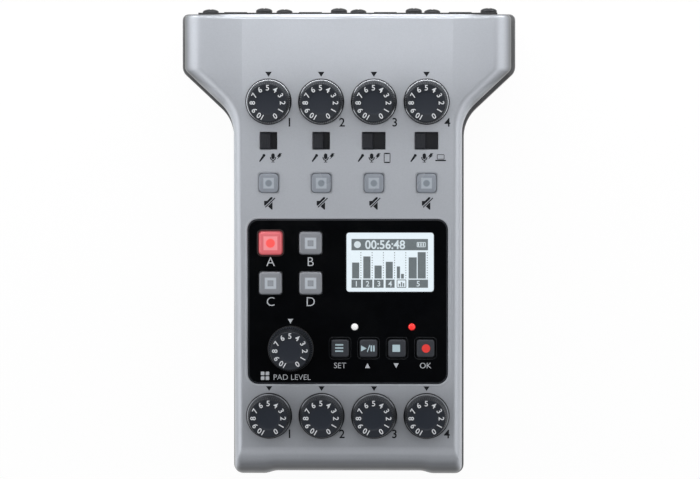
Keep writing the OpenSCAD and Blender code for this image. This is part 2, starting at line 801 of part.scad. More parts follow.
module main_board() color("#1f6b3a") on_panel() {
    front = phones_y - board_ahead;
    rear = gain_y + board_behind;
    difference() {
        translate([-board_half_w, front, -board_top - board_t])
            cube([2 * board_half_w, rear - front, board_t]);
        for (p = POSTS) translate([p.x, p.y, -board_top - board_t - cut_over])
            cylinder(d = board_screw_d + 0.4, h = board_t + 2 * cut_over);
    }
}

module lower_board() color("#1f6b3a") {
    half_w = waist_inner - 1.4;
    rear = flange_y - socket_flange_t - 0.4;
    wide_y = rear - 14;
    wide_half = rear_open_w / 2 - 3;
    front = y_front + front_dip + wall + 1;
    narrow_half = boss_x - boss_d / 2 - 1.3;
    narrow_y = y_front + boss_ahead + boss_d / 2 + 1.4;
    translate([0, 0, lower_board_z]) difference() {
        union() {
            translate([-narrow_half, front]) cube([2 * narrow_half, narrow_y - front + EPS, board_t]);
            translate([-half_w, narrow_y]) cube([2 * half_w, wide_y - narrow_y + EPS, board_t]);
            translate([-wide_half, wide_y]) cube([2 * wide_half, rear - wide_y, board_t]);
        }
        translate([0, bay_y]) block(
            2 * (bay_outer_half_w + slide_gap), 2 * (bay_outer_half_l + slide_gap), -cut_over, 2 * board_t
        );
    }
}

// Rear microphone sockets

module socket_housings() color("#141416") {
    core_sunk = 1.5;
    bore_depth = 13.5;
    contact_r = 4.5;
    contact_d = 2.6;
    contact_depth = 8;
    box_top = tab_z - tab_h / 2 - 0.5;
    flange_w = socket_pitch - 2.4;
    for (i = CHANNELS) translate([socket_x(i), y_rear, socket_z]) rotate([90, 0, 0]) difference() {
        translate([0, 0, core_sunk]) cylinder(d = socket_core_d, h = bore_depth - core_sunk - fit_gap);
        for (a = [90, 210, 330]) rotate(a) translate([contact_r, 0, core_sunk - EPS])
            cylinder(d = contact_d, h = contact_depth);
    }
    for (i = CHANNELS) translate([socket_x(i), 0, 0]) difference() {
        union() {
            translate([0, y_rear, socket_z]) rotate([90, 0, 0]) cylinder(d = barrel_d, h = socket_l);
            translate([0, flange_y - socket_flange_t / 2])
                block(flange_w, socket_flange_t, rear_open_z0 + 0.3, rear_open_z1 - 0.3);
            translate([0, y_rear - socket_l + 6.5]) block(socket_box_w, 13, lower_board_top, box_top);
        }
        translate([0, y_rear, socket_z]) rotate([90, 0, 0]) {
            translate([0, 0, -cut_over]) cylinder(d = socket_bore_d, h = bore_depth + cut_over);
            for (s = [-1, 1]) translate([s * screw_dx / 2, s * screw_dz / 2, 0])
                cylinder(d = screw_shank_d + 2 * run_gap, h = screw_length + 0.4);
        }
        translate([0, flange_y - socket_flange_t / 2])
            block(tab_w + 2.4, 2 * socket_flange_t, tab_z - tab_h / 2 - slide_gap, rear_open_z1 + 1);
    }
}

screw_length = rear_panel_t + socket_flange_t - 0.2;

module socket_screws() color("#1a1a1c") {
    slot = 0.6;
    rim_h = 0.55 * screw_head_h;
    crown_d = 0.62 * screw_head_d;
    for (i = CHANNELS, s = [-1, 1])
        translate([socket_x(i) + s * screw_dx / 2, y_rear, socket_z + s * screw_dz / 2])
            rotate([-90, 0, 0]) difference() {
                union() {
                    translate([0, 0, -screw_length]) cylinder(d = screw_shank_d, h = screw_length + EPS);
                    cylinder(d = screw_head_d, h = rim_h);
                    translate([0, 0, rim_h - EPS])
                        cylinder(d1 = screw_head_d, d2 = crown_d, h = screw_head_h - rim_h + EPS);
                }
                for (a = [0, 90]) rotate(a) block(3, slot, screw_head_h * 0.35, screw_head_h + cut_over);
            }
}

module socket_release(i) color("#3c3d40") {
    shoulder = 0.8;
    back = 3;
    translate([socket_x(i), y_rear - rear_panel_t / 2])
        block(tab_w, rear_panel_t, tab_z - tab_h / 2, tab_z + tab_h / 2);
    translate([socket_x(i), y_rear - rear_panel_t - seat_gap - back / 2])
        block(tab_w + 2 * shoulder, back, tab_z - tab_h / 2, tab_z + tab_h / 2);
    translate([socket_x(i), y_rear - rear_panel_t])
        block(tab_w, 2 * seat_gap + 0.2, tab_z - tab_h / 2, tab_z + tab_h / 2);
}

// Jacks, ports and the card socket on the lower board

module mini_jack() {
    difference() {
        union() {
            block(jack_w, jack_h, -jack_l, 0);
            translate([0, 0, -EPS]) cylinder(d = jack_nose_d, h = jack_nose_l + EPS);
        }
        translate([0, 0, -jack_bore_l]) cylinder(d = jack_bore_d, h = jack_bore_l + jack_nose_l + cut_over);
    }
}

// Turns a piece that looks up towards the left or right side wall, just inside it
module at_side(side, y, z) {
    translate([side * (waist_inner - fit_gap), y, z])
        rotate([0, side * 90, 0]) rotate([0, 0, 90]) children();
}

module mini_jacks() color("#18181a") {
    for (i = CHANNELS)
        translate([channel_x(i), y_front + front_dip + wall + fit_gap, jack_z]) rotate([90, 0, 0])
            mini_jack();
    at_side(-1, phone_jack_y, jack_z) mini_jack();
}

module bus_port() {
    r = bus_port_h / 2 - EPS;
    difference() {
        plate(bus_port_w + 2 * port_wall, bus_port_h + 2 * port_wall, r + port_wall, -bus_port_l, 0);
        plate(bus_port_w, bus_port_h, r, -bus_port_l + 1, cut_over);
    }
    plate(bus_port_w - 1.6, 0.7, 0.2, -bus_port_l + 0.5, -0.8);
}

module bus_ports() color("silver") {
    at_side(-1, data_port_y, bus_port_z) bus_port();
    at_side(1, supply_port_y, bus_port_z) bus_port();
}

module card_socket() color("silver") {
    at_side(1, card_y, card_z) difference() {
        block(card_slot_w + 2 * card_wall, card_slot_h + 2 * card_wall, -card_l, 0);
        block(card_slot_w, card_slot_h, -card_l + 1, cut_over);
    }
}

// Power slide on the right side

power_z = lower_board_top + 3.2;
power_knob_l = 5;
power_slot_h = 4.2;
power_slot_l = power_knob_l + power_travel + 2 * slide_gap;
power_body_w = 2.1;
power_pocket = 1.4;                 // depth of the pocket that the slide's stem moves in
power_body_x = waist_inner - 0.9 - lever_plate_t - power_body_w / 2 - slide_gap;

module power_slide() color("#202125") {
    face_sunk = 0.2;
    plate_x = waist_inner - slide_gap;
    plate_over = 0.6;
    plate_l = power_slot_l + power_travel + plate_over;
    knob_t = wall + slide_gap + 0.4;
    translate([0, power_y, power_z]) {
        translate([waist_w / 2 - face_sunk - knob_t / 2, 0])
            block(knob_t, power_knob_l, -power_slot_h / 2 + slide_gap, power_slot_h / 2 - slide_gap);
        translate([plate_x - lever_plate_t / 2, 0])
            block(lever_plate_t, plate_l, -power_slot_h / 2 - plate_over, power_slot_h / 2 + plate_over);
        translate([plate_x - lever_plate_t - 1, 0]) block(2 + EPS, stem_w, -stem_w / 2, stem_w / 2);
    }
}

// Batteries

module battery_cover() color("#35363a") {
    grip_l = 14;
    difference() {
        translate([0, bay_y]) block(2 * cover_half_w, 2 * cover_half_l, foot_h + 0.2, case_floor - fit_gap);
        for (k = [0:4]) translate([0, bay_y - cover_half_l + 5 + 1.6 * k])
            block(grip_l, 0.8, foot_h - cut_over, foot_h + 0.7);
    }
}

module battery_cells() color("#b9a06a") {
    nub_d = 5.2;
    for (s = [-1, 1]) translate([0, bay_y + s * cell_pitch / 2, cell_z]) rotate([0, s * 90, 0]) {
        translate([0, 0, -cell_l / 2]) cylinder(d = cell_d, h = cell_l);
        translate([0, 0, cell_l / 2 - EPS]) cylinder(d = nub_d, h = nub_l);
    }
}

module battery_contacts() color("#c8c8c4") {
    plate_h = 8;
    leaf = 4;
    plate_x = bay_half_w - contact_t / 2 - fit_gap;
    room = contact_room - contact_t - 3 * fit_gap;
    for (s = [-1, 1], e = [-1, 1]) translate([e * plate_x, bay_y + s * cell_pitch / 2, cell_z]) {
        block(contact_t, 9, -plate_h / 2, plate_h / 2);
        // A wide leaf reaches in to the flat end of the cell, a narrow one to its nub
        reach = e == s ? room - nub_l : room;
        width = e == s ? leaf / 2 : leaf;
        translate([-e * (contact_t / 2 + reach / 2 - EPS), 0]) block(reach, width, -leaf / 2, leaf / 2);
    }
}

// Feet and screws

module rubber_feet() color("#18181a") {
    for (p = FEET) translate([p.x, p.y, 0]) {
        cylinder(d1 = foot_d - 1, d2 = foot_d, h = 0.5);
        translate([0, 0, 0.5 - EPS]) cylinder(d = foot_d, h = foot_h + foot_sink - 0.5 - fit_gap / 2);
    }
}

module case_screws() color("#2b2b2d") {
    for (p = BOSSES) translate([p.x, p.y, case_head_z - case_head_h]) {
        cylinder(d = case_head_d, h = case_head_h);
        cylinder(d = case_screw_d, h = part_h - case_head_z + case_head_h + screw_bite);
    }
    on_panel() for (p = POSTS) translate([p.x, p.y, -board_top - board_t - board_head_h]) {
        cylinder(d = board_head_d, h = board_head_h);
        cylinder(d = board_screw_d, h = board_head_h + board_t + board_bite);
    }
}

top_cover();
bottom_cover();
rear_panel();
control_window();
display_module();
status_lamps();
for (i = CHANNELS) {
    on_panel(channel_x(i), gain_y) knob();
    on_panel(channel_x(i), gain_y) shaft();
    on_panel(channel_x(i), phones_y) knob();
    on_panel(channel_x(i), phones_y) shaft();
    selector_lever(i);
    mute_key(i);
    sound_pad(i);
    transport_key(i);
    socket_release(i);
}
on_panel(pad_x, pad_knob_y) knob();  // pad_level_knob
on_panel(pad_x, pad_knob_y) shaft();  // pad_level_shaft
pot_bodies();
slide_switch_bodies();
key_switches();
main_board();
lower_board();
socket_housings();
socket_screws();
mini_jacks();
bus_ports();
card_socket();
power_slide();
battery_cover();
battery_contacts();
battery_cells();
rubber_feet();
case_screws();
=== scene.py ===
"""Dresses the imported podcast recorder: its finishes, fine shapes, legends, studio and camera.

Solids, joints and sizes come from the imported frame. Shapes are drawn in millimetres, most of them on
the sloping control panel, and are placed in metres in the frame's own axes.
"""

import json
import logging
import math
from dataclasses import dataclass, field, replace
from enum import Enum
from typing import Iterable, Sequence

import bmesh
import bpy
from mathutils import Matrix, Vector

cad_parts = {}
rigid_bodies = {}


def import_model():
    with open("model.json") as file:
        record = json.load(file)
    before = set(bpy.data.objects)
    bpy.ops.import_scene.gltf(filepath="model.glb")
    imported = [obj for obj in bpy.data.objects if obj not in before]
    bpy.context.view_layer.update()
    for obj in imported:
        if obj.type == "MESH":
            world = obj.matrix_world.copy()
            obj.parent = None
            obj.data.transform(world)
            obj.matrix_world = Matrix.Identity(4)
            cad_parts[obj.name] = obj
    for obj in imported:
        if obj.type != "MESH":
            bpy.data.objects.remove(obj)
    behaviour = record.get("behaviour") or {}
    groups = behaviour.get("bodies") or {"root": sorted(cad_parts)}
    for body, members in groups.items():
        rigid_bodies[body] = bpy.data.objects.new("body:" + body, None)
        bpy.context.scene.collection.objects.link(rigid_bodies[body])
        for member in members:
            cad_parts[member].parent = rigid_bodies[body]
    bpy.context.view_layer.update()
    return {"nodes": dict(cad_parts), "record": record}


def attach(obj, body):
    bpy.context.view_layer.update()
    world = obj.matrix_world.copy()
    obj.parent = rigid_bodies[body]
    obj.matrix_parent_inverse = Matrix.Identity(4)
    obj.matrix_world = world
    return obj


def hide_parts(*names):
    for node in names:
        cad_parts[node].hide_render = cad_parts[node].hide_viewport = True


for start_object in list(bpy.data.objects):
    bpy.data.objects.remove(start_object)
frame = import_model()

log = logging.getLogger("recorder")

Point2 = tuple[float, float]
Point3 = tuple[float, float, float]
Rgb = tuple[int, int, int]
Socket = bpy.types.NodeSocket

MM = 0.001
MERGE = 2e-4           # points closer than this, in millimetres, are one
CAD_MERGE = 1e-7       # the same for the CAD meshes, in metres
PRINT = 0.03           # thickness of a printed legend, in millimetres
KEY_INK = 0.04         # thickness of a symbol on a key, in millimetres
SCREEN_INK = 0.02      # thickness of what the display shows, in millimetres
SHARP = 34.0           # edges that turn by more degrees than this stay sharp
IN_PLANE = 0.9999      # cosine from which a face counts as part of a plane
LOCAL_UV = "local"     # UV map that holds a piece's own x and y in millimetres
MARK_SCALE = 55.0      # handling marks for each metre
MARK_FADE = (0.38, 0.66)   # noise values between which a handling mark fades in
EDGE_FADE = (0.98, 0.72)   # cosines between which an edge counts as worn
BUMP_STRENGTH = 0.6
COAT_ROUGH = 0.08
BODY_OF = {
    node: body
    for body, nodes in frame["record"]["behaviour"]["bodies"].items()
    for node in nodes
}


class Slot(Enum):
    """The record's material slots."""

    SILVER = "silver_shell"
    DARK_SHELL = "dark_shell"
    BLACK = "black_plastic"
    WINDOW = "window_black"
    DISPLAY = "display"
    KNOB = "knob_grip"
    LEVER = "lever_black"
    CLEAR_KEY = "key_translucent"
    PAD_LIT = "pad_lit"
    PAD_UNLIT = "pad_unlit"
    DARK_KEY = "key_dark"
    LAMP = "lamp"
    STEEL = "steel"
    SCREW = "screw_black"
    BOARD = "board"
    COMPONENT = "component"
    CELL = "cell_jacket"
    RUBBER = "rubber_black"


class Effect(Enum):
    """Shader effects that several finishes share."""

    GRAIN = "moulded_grain"
    MARKS = "handling_marks"
    EDGE = "softened_edge"


def linear(colour: Rgb, share: float = 1.0) -> tuple[float, float, float, float]:
    """Turns an sRGB colour into the linear colour that nodes take.

    Args:
        colour: Red, green and blue from 0 to 255.
        share: Factor on the linear values.

    Returns:
        Linear red, green, blue and an alpha of 1.
    """
    def channel(value: float) -> float:
        """One channel from 0 to 255 as a linear value."""
        c = value / 255
        return share * (c / 12.92 if c <= 0.04045 else ((c + 0.055) / 1.055) ** 2.4)

    return channel(colour[0]), channel(colour[1]), channel(colour[2]), 1.0


class Graph:
    """A node tree that is being wired."""

    def __init__(self, tree: bpy.types.NodeTree) -> None:
        """Keeps the tree to wire."""
        self.tree = tree

    def node(self, kind: str, values: dict | None = None, **settings: object) -> bpy.types.Node:
        """Adds a node.

        Args:
            kind: The node's Blender type.
            values: Constants or sockets to link, by the name or index of the input.
            settings: Properties of the node itself.

        Returns:
            The new node.
        """
        made = self.tree.nodes.new(kind)
        for name, value in settings.items():
            setattr(made, name, value)
        for key, value in (values or {}).items():
            if isinstance(value, bpy.types.NodeSocket):
                self.tree.links.new(value, made.inputs[key])
            else:
                made.inputs[key].default_value = value
        return made

    def math(self, operation: str, a: object, b: object = 0.0) -> Socket:
        """Adds a math node and gives its output."""
        return self.node("ShaderNodeMath", {0: a, 1: b}, operation=operation).outputs[0]

    def mix(self, factor: object, a: object, b: object) -> Socket:
        """Mixes two colours and gives the result."""
        return self.node("ShaderNodeMix", {0: factor, 6: a, 7: b}, data_type="RGBA").outputs[2]

    def remap(self, value: object, low: float, high: float, to_low: float, to_high: float) -> Socket:
        """Maps a value smoothly from one range to another and gives the result."""
        return self.node(
            "ShaderNodeMapRange", {0: value, 1: low, 2: high, 3: to_low, 4: to_high},
            interpolation_type="SMOOTHSTEP",
        ).outputs[0]

    def step(self, value: object, at: float, blend: float) -> Socket:
        """Rises smoothly from 0 to 1 around a value and gives the result."""
        return self.remap(value, at - blend, at + blend, 0.0, 1.0)

    def effect(self, effect: Effect, values: dict) -> bpy.types.Node:
        """Places a shared effect with its own values."""
        return self.node("ShaderNodeGroup", values, node_tree=effect_group(effect))


def effect_group(effect: Effect) -> bpy.types.NodeTree:
    """Gives the shader node group of an effect and builds it at its first use.

    Args:
        effect: Which effect.

    Returns:
        The node group.
    """
    found = bpy.data.node_groups.get(effect.value)
    if found:
        return found
    tree = bpy.data.node_groups.new(effect.value, "ShaderNodeTree")
    graph = Graph(tree)

    def socket(name: str, way: str, kind: str = "NodeSocketFloat") -> None:
        """Adds a named socket to the group."""
        tree.interface.new_socket(name, in_out=way, socket_type=kind)

    if effect is Effect.GRAIN:
        socket("Scale", "INPUT")
        socket("Height", "OUTPUT")
        socket("Fleck", "OUTPUT")
        given = graph.node("NodeGroupInput")
        place = graph.node("ShaderNodeTexCoord").outputs["Object"]
        fine = graph.node(
            "ShaderNodeTexNoise",
            {"Vector": place, "Scale": given.outputs["Scale"], "Detail": 3.0, "Roughness": 0.6},
        )
        cells = graph.node("ShaderNodeTexVoronoi", {"Vector": place, "Scale": given.outputs["Scale"]})
        fleck = graph.node("ShaderNodeSeparateColor", {0: cells.outputs["Color"]}).outputs[0]
        graph.node("NodeGroupOutput", {"Height": fine.outputs["Fac"], "Fleck": fleck})
    elif effect is Effect.MARKS:
        socket("Scale", "INPUT")
        socket("Mark", "OUTPUT")
        given = graph.node("NodeGroupInput")
        place = graph.node("ShaderNodeTexCoord").outputs["Object"]
        cloud = graph.node(
            "ShaderNodeTexNoise",
            {"Vector": place, "Scale": given.outputs["Scale"], "Detail": 5.0, "Distortion": 0.8},
        )
        graph.node("NodeGroupOutput", {"Mark": graph.remap(cloud.outputs["Fac"], *MARK_FADE, 0.0, 1.0)})
    else:
        socket("Radius", "INPUT")
        socket("Normal", "OUTPUT", "NodeSocketVector")
        socket("Edge", "OUTPUT")
        given = graph.node("NodeGroupInput")
        round_normal = graph.node("ShaderNodeBevel", {"Radius": given.outputs["Radius"]}, samples=6)
        plain = graph.node("ShaderNodeNewGeometry").outputs["Normal"]
        along = graph.node(
            "ShaderNodeVectorMath", {0: round_normal.outputs[0], 1: plain}, operation="DOT_PRODUCT"
        ).outputs["Value"]
        graph.node("NodeGroupOutput", {
            "Normal": round_normal.outputs[0], "Edge": graph.remap(along, *EDGE_FADE, 0.0, 1.0),
        })
    return tree


def fresh_graph(owner: bpy.types.ID) -> Graph:
    """Empties the node tree of a material or a world.

    Args:
        owner: The material or the world.

    Returns:
        The graph to wire.
    """
    owner.use_nodes = True
    owner.node_tree.nodes.clear()
    return Graph(owner.node_tree)


@dataclass(frozen=True)
class Finish:
    """A procedural surface with fine variation of tone, roughness and grain, and softened edges.

    Sizes are in millimetres and scales are counts for each metre.
    """

    name: str
    slot: Slot
    colour: Rgb
    rough: float
    metallic: float = 0.0
    grain: float = 0.01
    grain_scale: float = 2600.0
    fleck: float = 0.04
    mark: float = 0.06
    edge: float = 0.15
    edge_light: float = 0.12
    coat: float = 0.0
    specular: float = 0.5

    def base(self, graph: Graph) -> object:
        """Gives the colour under flecks and wear, as a colour or a socket."""
        return linear(self.colour)

    def extras(self, graph: Graph, shader: bpy.types.Node) -> None:
        """Adds what a special finish needs to the shader."""

    def material(self) -> bpy.types.Material:
        """Gives the material and builds it at its first use.

        Returns:
            The Blender material.
        """
        found = bpy.data.materials.get(self.name)
        if found:
            return found
        made = bpy.data.materials.new(self.name)
        graph = fresh_graph(made)
        grain = graph.effect(Effect.GRAIN, {"Scale": self.grain_scale})
        marks = graph.effect(Effect.MARKS, {"Scale": MARK_SCALE})
        edge = graph.effect(Effect.EDGE, {"Radius": self.edge * MM})
        base = self.base(graph)
        tone = graph.math("MULTIPLY_ADD", grain.outputs["Fleck"], self.fleck)
        tone.node.inputs[2].default_value = 1.0 - self.fleck / 2
        worn = graph.math("MULTIPLY_ADD", edge.outputs["Edge"], self.edge_light)
        graph.tree.links.new(tone, worn.node.inputs[2])
        base = base if isinstance(base, bpy.types.NodeSocket) else base[:3]
        shade = graph.node("ShaderNodeVectorMath", {0: base, 1: worn}, operation="MULTIPLY").outputs[0]
        rough = graph.math("MULTIPLY_ADD", marks.outputs["Mark"], self.mark)
        rough.node.inputs[2].default_value = self.rough
        bump = graph.node("ShaderNodeBump", {
            "Strength": BUMP_STRENGTH, "Distance": self.grain * MM,
            "Height": grain.outputs["Height"], "Normal": edge.outputs["Normal"],
        })
        shader = graph.node("ShaderNodeBsdfPrincipled", {
            "Base Color": shade, "Metallic": self.metallic, "Roughness": rough,
            "Normal": bump.outputs[0], "Coat Weight": self.coat, "Coat Roughness": COAT_ROUGH,
            "Specular IOR Level": self.specular,
        })
        self.extras(graph, shader)
        graph.node("ShaderNodeOutputMaterial", {"Surface": shader.outputs[0]})
        return made


def local_point(graph: Graph) -> list[Socket]:
    """Gives a piece's own x and y in millimetres, from its local UV map."""
    drawn = graph.node("ShaderNodeUVMap", uv_map=LOCAL_UV).outputs[0]
    return graph.node("ShaderNodeSeparateXYZ", {0: drawn}).outputs[:2]


def square_distance(graph: Graph) -> Socket:
    """Gives how far a point is from the piece's middle, measured in squares."""
    x, y = (graph.math("ABSOLUTE", side) for side in local_point(graph))
    return graph.math("MAXIMUM", x, y)


def round_distance(graph: Graph) -> Socket:
    """Gives how far a point is from the piece's middle, measured in circles."""
    xx, yy = (graph.math("MULTIPLY", side, side) for side in local_point(graph))
    return graph.math("SQRT", graph.math("ADD", xx, yy))


@dataclass(frozen=True)
class ShellFinish(Finish):
    """Shell paint with painted shade, darker on the wings' straight sides and where the front turns down.

    Rise and turn are ranges of the surface's normal; the wings' ranges are places in metres.
    """

    rim_colour: Rgb = (74, 76, 79)
    rim_rise: Point2 = (0.15, 0.985)
    wing_x: Point2 = (0.039, 0.045)
    wing_y: Point2 = (0.05, 0.058)
    front_turn: Point2 = (-0.88, -0.4)

    def base(self, graph: Graph) -> object:
        """Mixes painted shade into the paint by place and by the way that the surface faces.

        Args:
            graph: The material's graph.

        Returns:
            The mixed colour.
        """
        place = graph.node("ShaderNodeTexCoord").outputs
        faces = graph.node("ShaderNodeSeparateXYZ", {0: place["Normal"]}).outputs
        at = graph.node("ShaderNodeSeparateXYZ", {0: place["Object"]}).outputs
        # Painted shade: darker where the wings' sides and the front turn down from the panel.
        inward = graph.remap(graph.math("ABSOLUTE", at["X"]), *self.wing_x, 1.0, 0.0)
        waist = graph.math("MAXIMUM", inward, graph.remap(at["Y"], *self.wing_y, 1.0, 0.0))
        flat = graph.math("MAXIMUM", waist, graph.remap(faces["Z"], *self.rim_rise, 0.0, 1.0))
        # This share is 1 where the paint keeps its own colour and 0 where the painted shade covers it.
        paint = graph.math("MULTIPLY", flat, graph.remap(faces["Y"], *self.front_turn, 0.0, 1.0))
        return graph.mix(paint, linear(self.rim_colour), linear(self.colour))


@dataclass(frozen=True)
class KnobFinish(Finish):
    """Knob plastic with a slightly lighter dish in the middle of the face as painted sheen, a wall darkened
    as painted shade, and a dark skirt.

    A band has the radius where it starts, half the width of its blend, and its colour.
    """

    dish_colour: Rgb = (32, 37, 46)
    dish_radius: float = 3.8
    dish_blend: float = 0.2
    # The first band darkens the tapered wall as painted shade; the second darkens the skirt.
    bands: tuple[tuple[float, float, Rgb], ...] = ((6.3, 0.1, (26, 29, 34)), (7.25, 0.05, (13, 14, 17)))

    def base(self, graph: Graph) -> object:
        """Mixes the face, the wall and the skirt into the dish's colour; the dish's lighter colour is painted
        sheen, the wall's darker one painted shade.

        Args:
            graph: The material's graph.

        Returns:
            The mixed colour.
        """
        r = round_distance(graph)
        mixed = linear(self.dish_colour)
        for start, blend, colour in ((self.dish_radius, self.dish_blend, self.colour), *self.bands):
            mixed = graph.mix(graph.step(r, start, blend), mixed, linear(colour))
        return mixed


@dataclass(frozen=True)
class LensFinish(Finish):
    """Translucent key with a square light guide around a round spot under its surface."""

    ring_colour: Rgb = (196, 202, 208)
    spot_colour: Rgb = (140, 148, 154)
    ring_inner: float = 0.0
    ring_outer: float = 1.8
    ring_blend: Point2 = (0.15, 0.2)
    spot_radius: float = 1.15
    spot_blend: float = 0.25
    depth: float = 0.25
    scatter: float = 0.0012
    glow: float = 0.0

    def base(self, graph: Graph) -> object:
        """Mixes the light guide and the spot into the key's colour.

        Args:
            graph: The material's graph.

        Returns:
            The mixed colour.
        """
        square = square_distance(graph)
        within, beyond = self.ring_blend
        ring = graph.remap(square, self.ring_outer - within, self.ring_outer + beyond, 1.0, 0.0)
        if self.ring_inner:
            ring = graph.math("MULTIPLY", ring, graph.step(square, self.ring_inner, within))
        ringed = graph.mix(ring, linear(self.colour), linear(self.ring_colour))
        around = graph.step(round_distance(graph), self.spot_radius, self.spot_blend)
        return graph.mix(around, linear(self.spot_colour), ringed)

    def extras(self, graph: Graph, shader: bpy.types.Node) -> None:
        """Lets light into the cap, and lights it where the key glows.

        Args:
            graph: The material's graph.
            shader: The node to add to.
        """
        shader.inputs["Subsurface Weight"].default_value = self.depth
        shader.inputs["Subsurface Radius"].default_value = (self.scatter,) * 3
        shader.inputs["Subsurface Scale"].default_value = 1.0
        if self.glow:
            graph.tree.links.new(self.base(graph), shader.inputs["Emission Color"])
            shader.inputs["Emission Strength"].default_value = self.glow


@dataclass(frozen=True)
class GlowFinish(Finish):
    """A surface that also gives light of its own, with a faint cell pattern."""

    glow: float = 0.8
    glow_colour: Rgb = (240, 246, 250)
    cell_scale: float = 3000.0
    uneven: float = 0.12
    dim: float = 0.75

    def extras(self, graph: Graph, shader: bpy.types.Node) -> None:
        """Adds the light, a little uneven as a real light guide is.

        Args:
            graph: The material's graph.
            shader: The node to add to.
        """
        cells = graph.effect(Effect.GRAIN, {"Scale": self.cell_scale})
        even = graph.remap(cells.outputs["Fleck"], 0.0, 1.0, 0.0, self.uneven)
        lit = graph.mix(even, linear(self.glow_colour), linear(self.glow_colour, self.dim))
        graph.tree.links.new(lit, shader.inputs["Emission Color"])
        shader.inputs["Emission Strength"].default_value = self.glow


def printed(name: str, slot: Slot, colour: Rgb, rough: float = 0.5, specular: float = 0.5) -> Finish:
    """Gives the finish of a thin print, whose edges don't wear."""
    return Finish(name, slot, colour, rough, grain=0.003, edge=0.02, edge_light=0.0, specular=specular)


SILVER = ShellFinish("silver_paint", Slot.SILVER, (172, 176, 183), 0.33, metallic=0.35, grain=0.004,
                     grain_scale=3600.0, fleck=0.05, mark=0.05, edge=0.22, edge_light=0.1, coat=0.1)
DARK_SHELL = Finish("dark_moulding", Slot.DARK_SHELL, (88, 89, 90), 0.46, grain=0.03, grain_scale=1700.0,
                    fleck=0.1, edge=0.2)
BLACK = Finish("black_moulding", Slot.BLACK, (26, 27, 29), 0.42, grain=0.02, grain_scale=2000.0, edge=0.18)
WINDOW = Finish("gloss_window", Slot.WINDOW, (5, 6, 8), 0.07, grain=0.0006, grain_scale=500.0, fleck=0.3,
                edge=0.12, edge_light=0.5, specular=0.4)
# Lighter grey of the window's rims and border: painted reflection of their bevels.
WINDOW_EDGE_SHEEN = Finish("window_edge_sheen", Slot.WINDOW, (36, 39, 44), 0.2, grain=0.001, fleck=0.1, edge=0.05)
DISPLAY_GLASS = GlowFinish("display_glass", Slot.DISPLAY, (130, 138, 142), 0.12, grain=0.0005, edge=0.1,
                           glow=0.76, glow_colour=(232, 243, 250))
DISPLAY_FRAME = Finish("display_frame", Slot.DISPLAY, (30, 31, 33), 0.4)
DISPLAY_INK = Finish("display_ink", Slot.DISPLAY, (108, 117, 121), 0.3, grain=0.001, fleck=0.1, edge=0.02,
                     edge_light=0.0)
DISPLAY_PALE = GlowFinish("display_pale", Slot.DISPLAY, (130, 138, 142), 0.2, grain=0.001, edge=0.02,
                          glow=0.62, glow_colour=(225, 236, 242))
KNOB = KnobFinish("knob_plastic", Slot.KNOB, (31, 35, 42), 0.38, grain=0.006, grain_scale=3000.0,
                  fleck=0.06, edge=0.12, edge_light=0.25, specular=0.25)
KNOB_BEAD = Finish("knob_bead", Slot.KNOB, (168, 171, 176), 0.22, metallic=1.0, grain=0.002, edge=0.05)
# The phones knobs' and the pad knob's beads are the gain knobs' polished bead in darker colours, as painted
# shade, and a little rougher.
SATIN_SHADED_BEAD = replace(KNOB_BEAD, name="knob_bead_satin", colour=(128, 131, 136), rough=0.32)
DARK_SHADED_BEAD = replace(KNOB_BEAD, name="knob_bead_dark", colour=(40, 43, 49), rough=0.42)
KNOB_PRINT = printed("knob_print", Slot.KNOB, (204, 207, 211))
LEVER = Finish("lever_plastic", Slot.LEVER, (27, 30, 37), 0.42, grain=0.01, edge=0.2, edge_light=0.3,
               specular=0.3)
CLEAR_KEY = LensFinish("key_lens", Slot.CLEAR_KEY, (134, 140, 149), 0.25, grain=0.002, edge=0.25,
                       ring_outer=1.75, spot_radius=1.1, ring_colour=(163, 171, 180),
                       spot_colour=(123, 131, 140))
PAD_UNLIT = LensFinish("pad_grey", Slot.PAD_UNLIT, (128, 131, 137), 0.38, grain=0.008, edge=0.3,
                       ring_inner=0.98, ring_outer=1.85, spot_radius=0.9, ring_colour=(178, 185, 193),
                       spot_colour=(141, 146, 153))
PAD_LIT = LensFinish("pad_red", Slot.PAD_LIT, (188, 89, 95), 0.35, grain=0.006, edge=0.3,
                     ring_outer=2.3, ring_colour=(208, 124, 128), spot_colour=(224, 76, 73),
                     spot_radius=1.5, glow=0.42)
# Painted glow: a faint red ring on the window round the lit pad, for its light spilling out.
PAD_GLOW = GlowFinish("pad_halo", Slot.PAD_LIT, (14, 1, 1), 0.5, grain=0.001, glow=0.012,
                      glow_colour=(255, 30, 24))
DARK_KEY = Finish("key_moulding", Slot.DARK_KEY, (48, 51, 57), 0.42, grain=0.01, edge=0.25, edge_light=0.35,
                  specular=0.3)
KEY_PRINT = printed("key_print", Slot.DARK_KEY, (170, 192, 200))
KEY_RED = printed("key_red_print", Slot.DARK_KEY, (224, 50, 44), 0.45)
WHITE_LAMP = GlowFinish("lamp_white", Slot.LAMP, (205, 205, 205), 0.2, grain=0.001, glow=0.4,
                        glow_colour=(245, 245, 245))
RED_LAMP = GlowFinish("lamp_red", Slot.LAMP, (205, 40, 36), 0.2, grain=0.001, glow=0.55,
                      glow_colour=(245, 48, 44))
STEEL = Finish("plated_steel", Slot.STEEL, (186, 188, 190), 0.24, metallic=1.0, grain=0.004, edge=0.08)
SCREW = Finish("black_screw", Slot.SCREW, (38, 39, 41), 0.3, metallic=0.7, grain=0.006, edge=0.1,
               edge_light=0.6)
BOARD = Finish("circuit_board", Slot.BOARD, (30, 96, 54), 0.4, grain=0.02, grain_scale=700.0, fleck=0.2)
COMPONENT = Finish("component_case", Slot.COMPONENT, (62, 66, 70), 0.45, grain=0.01)
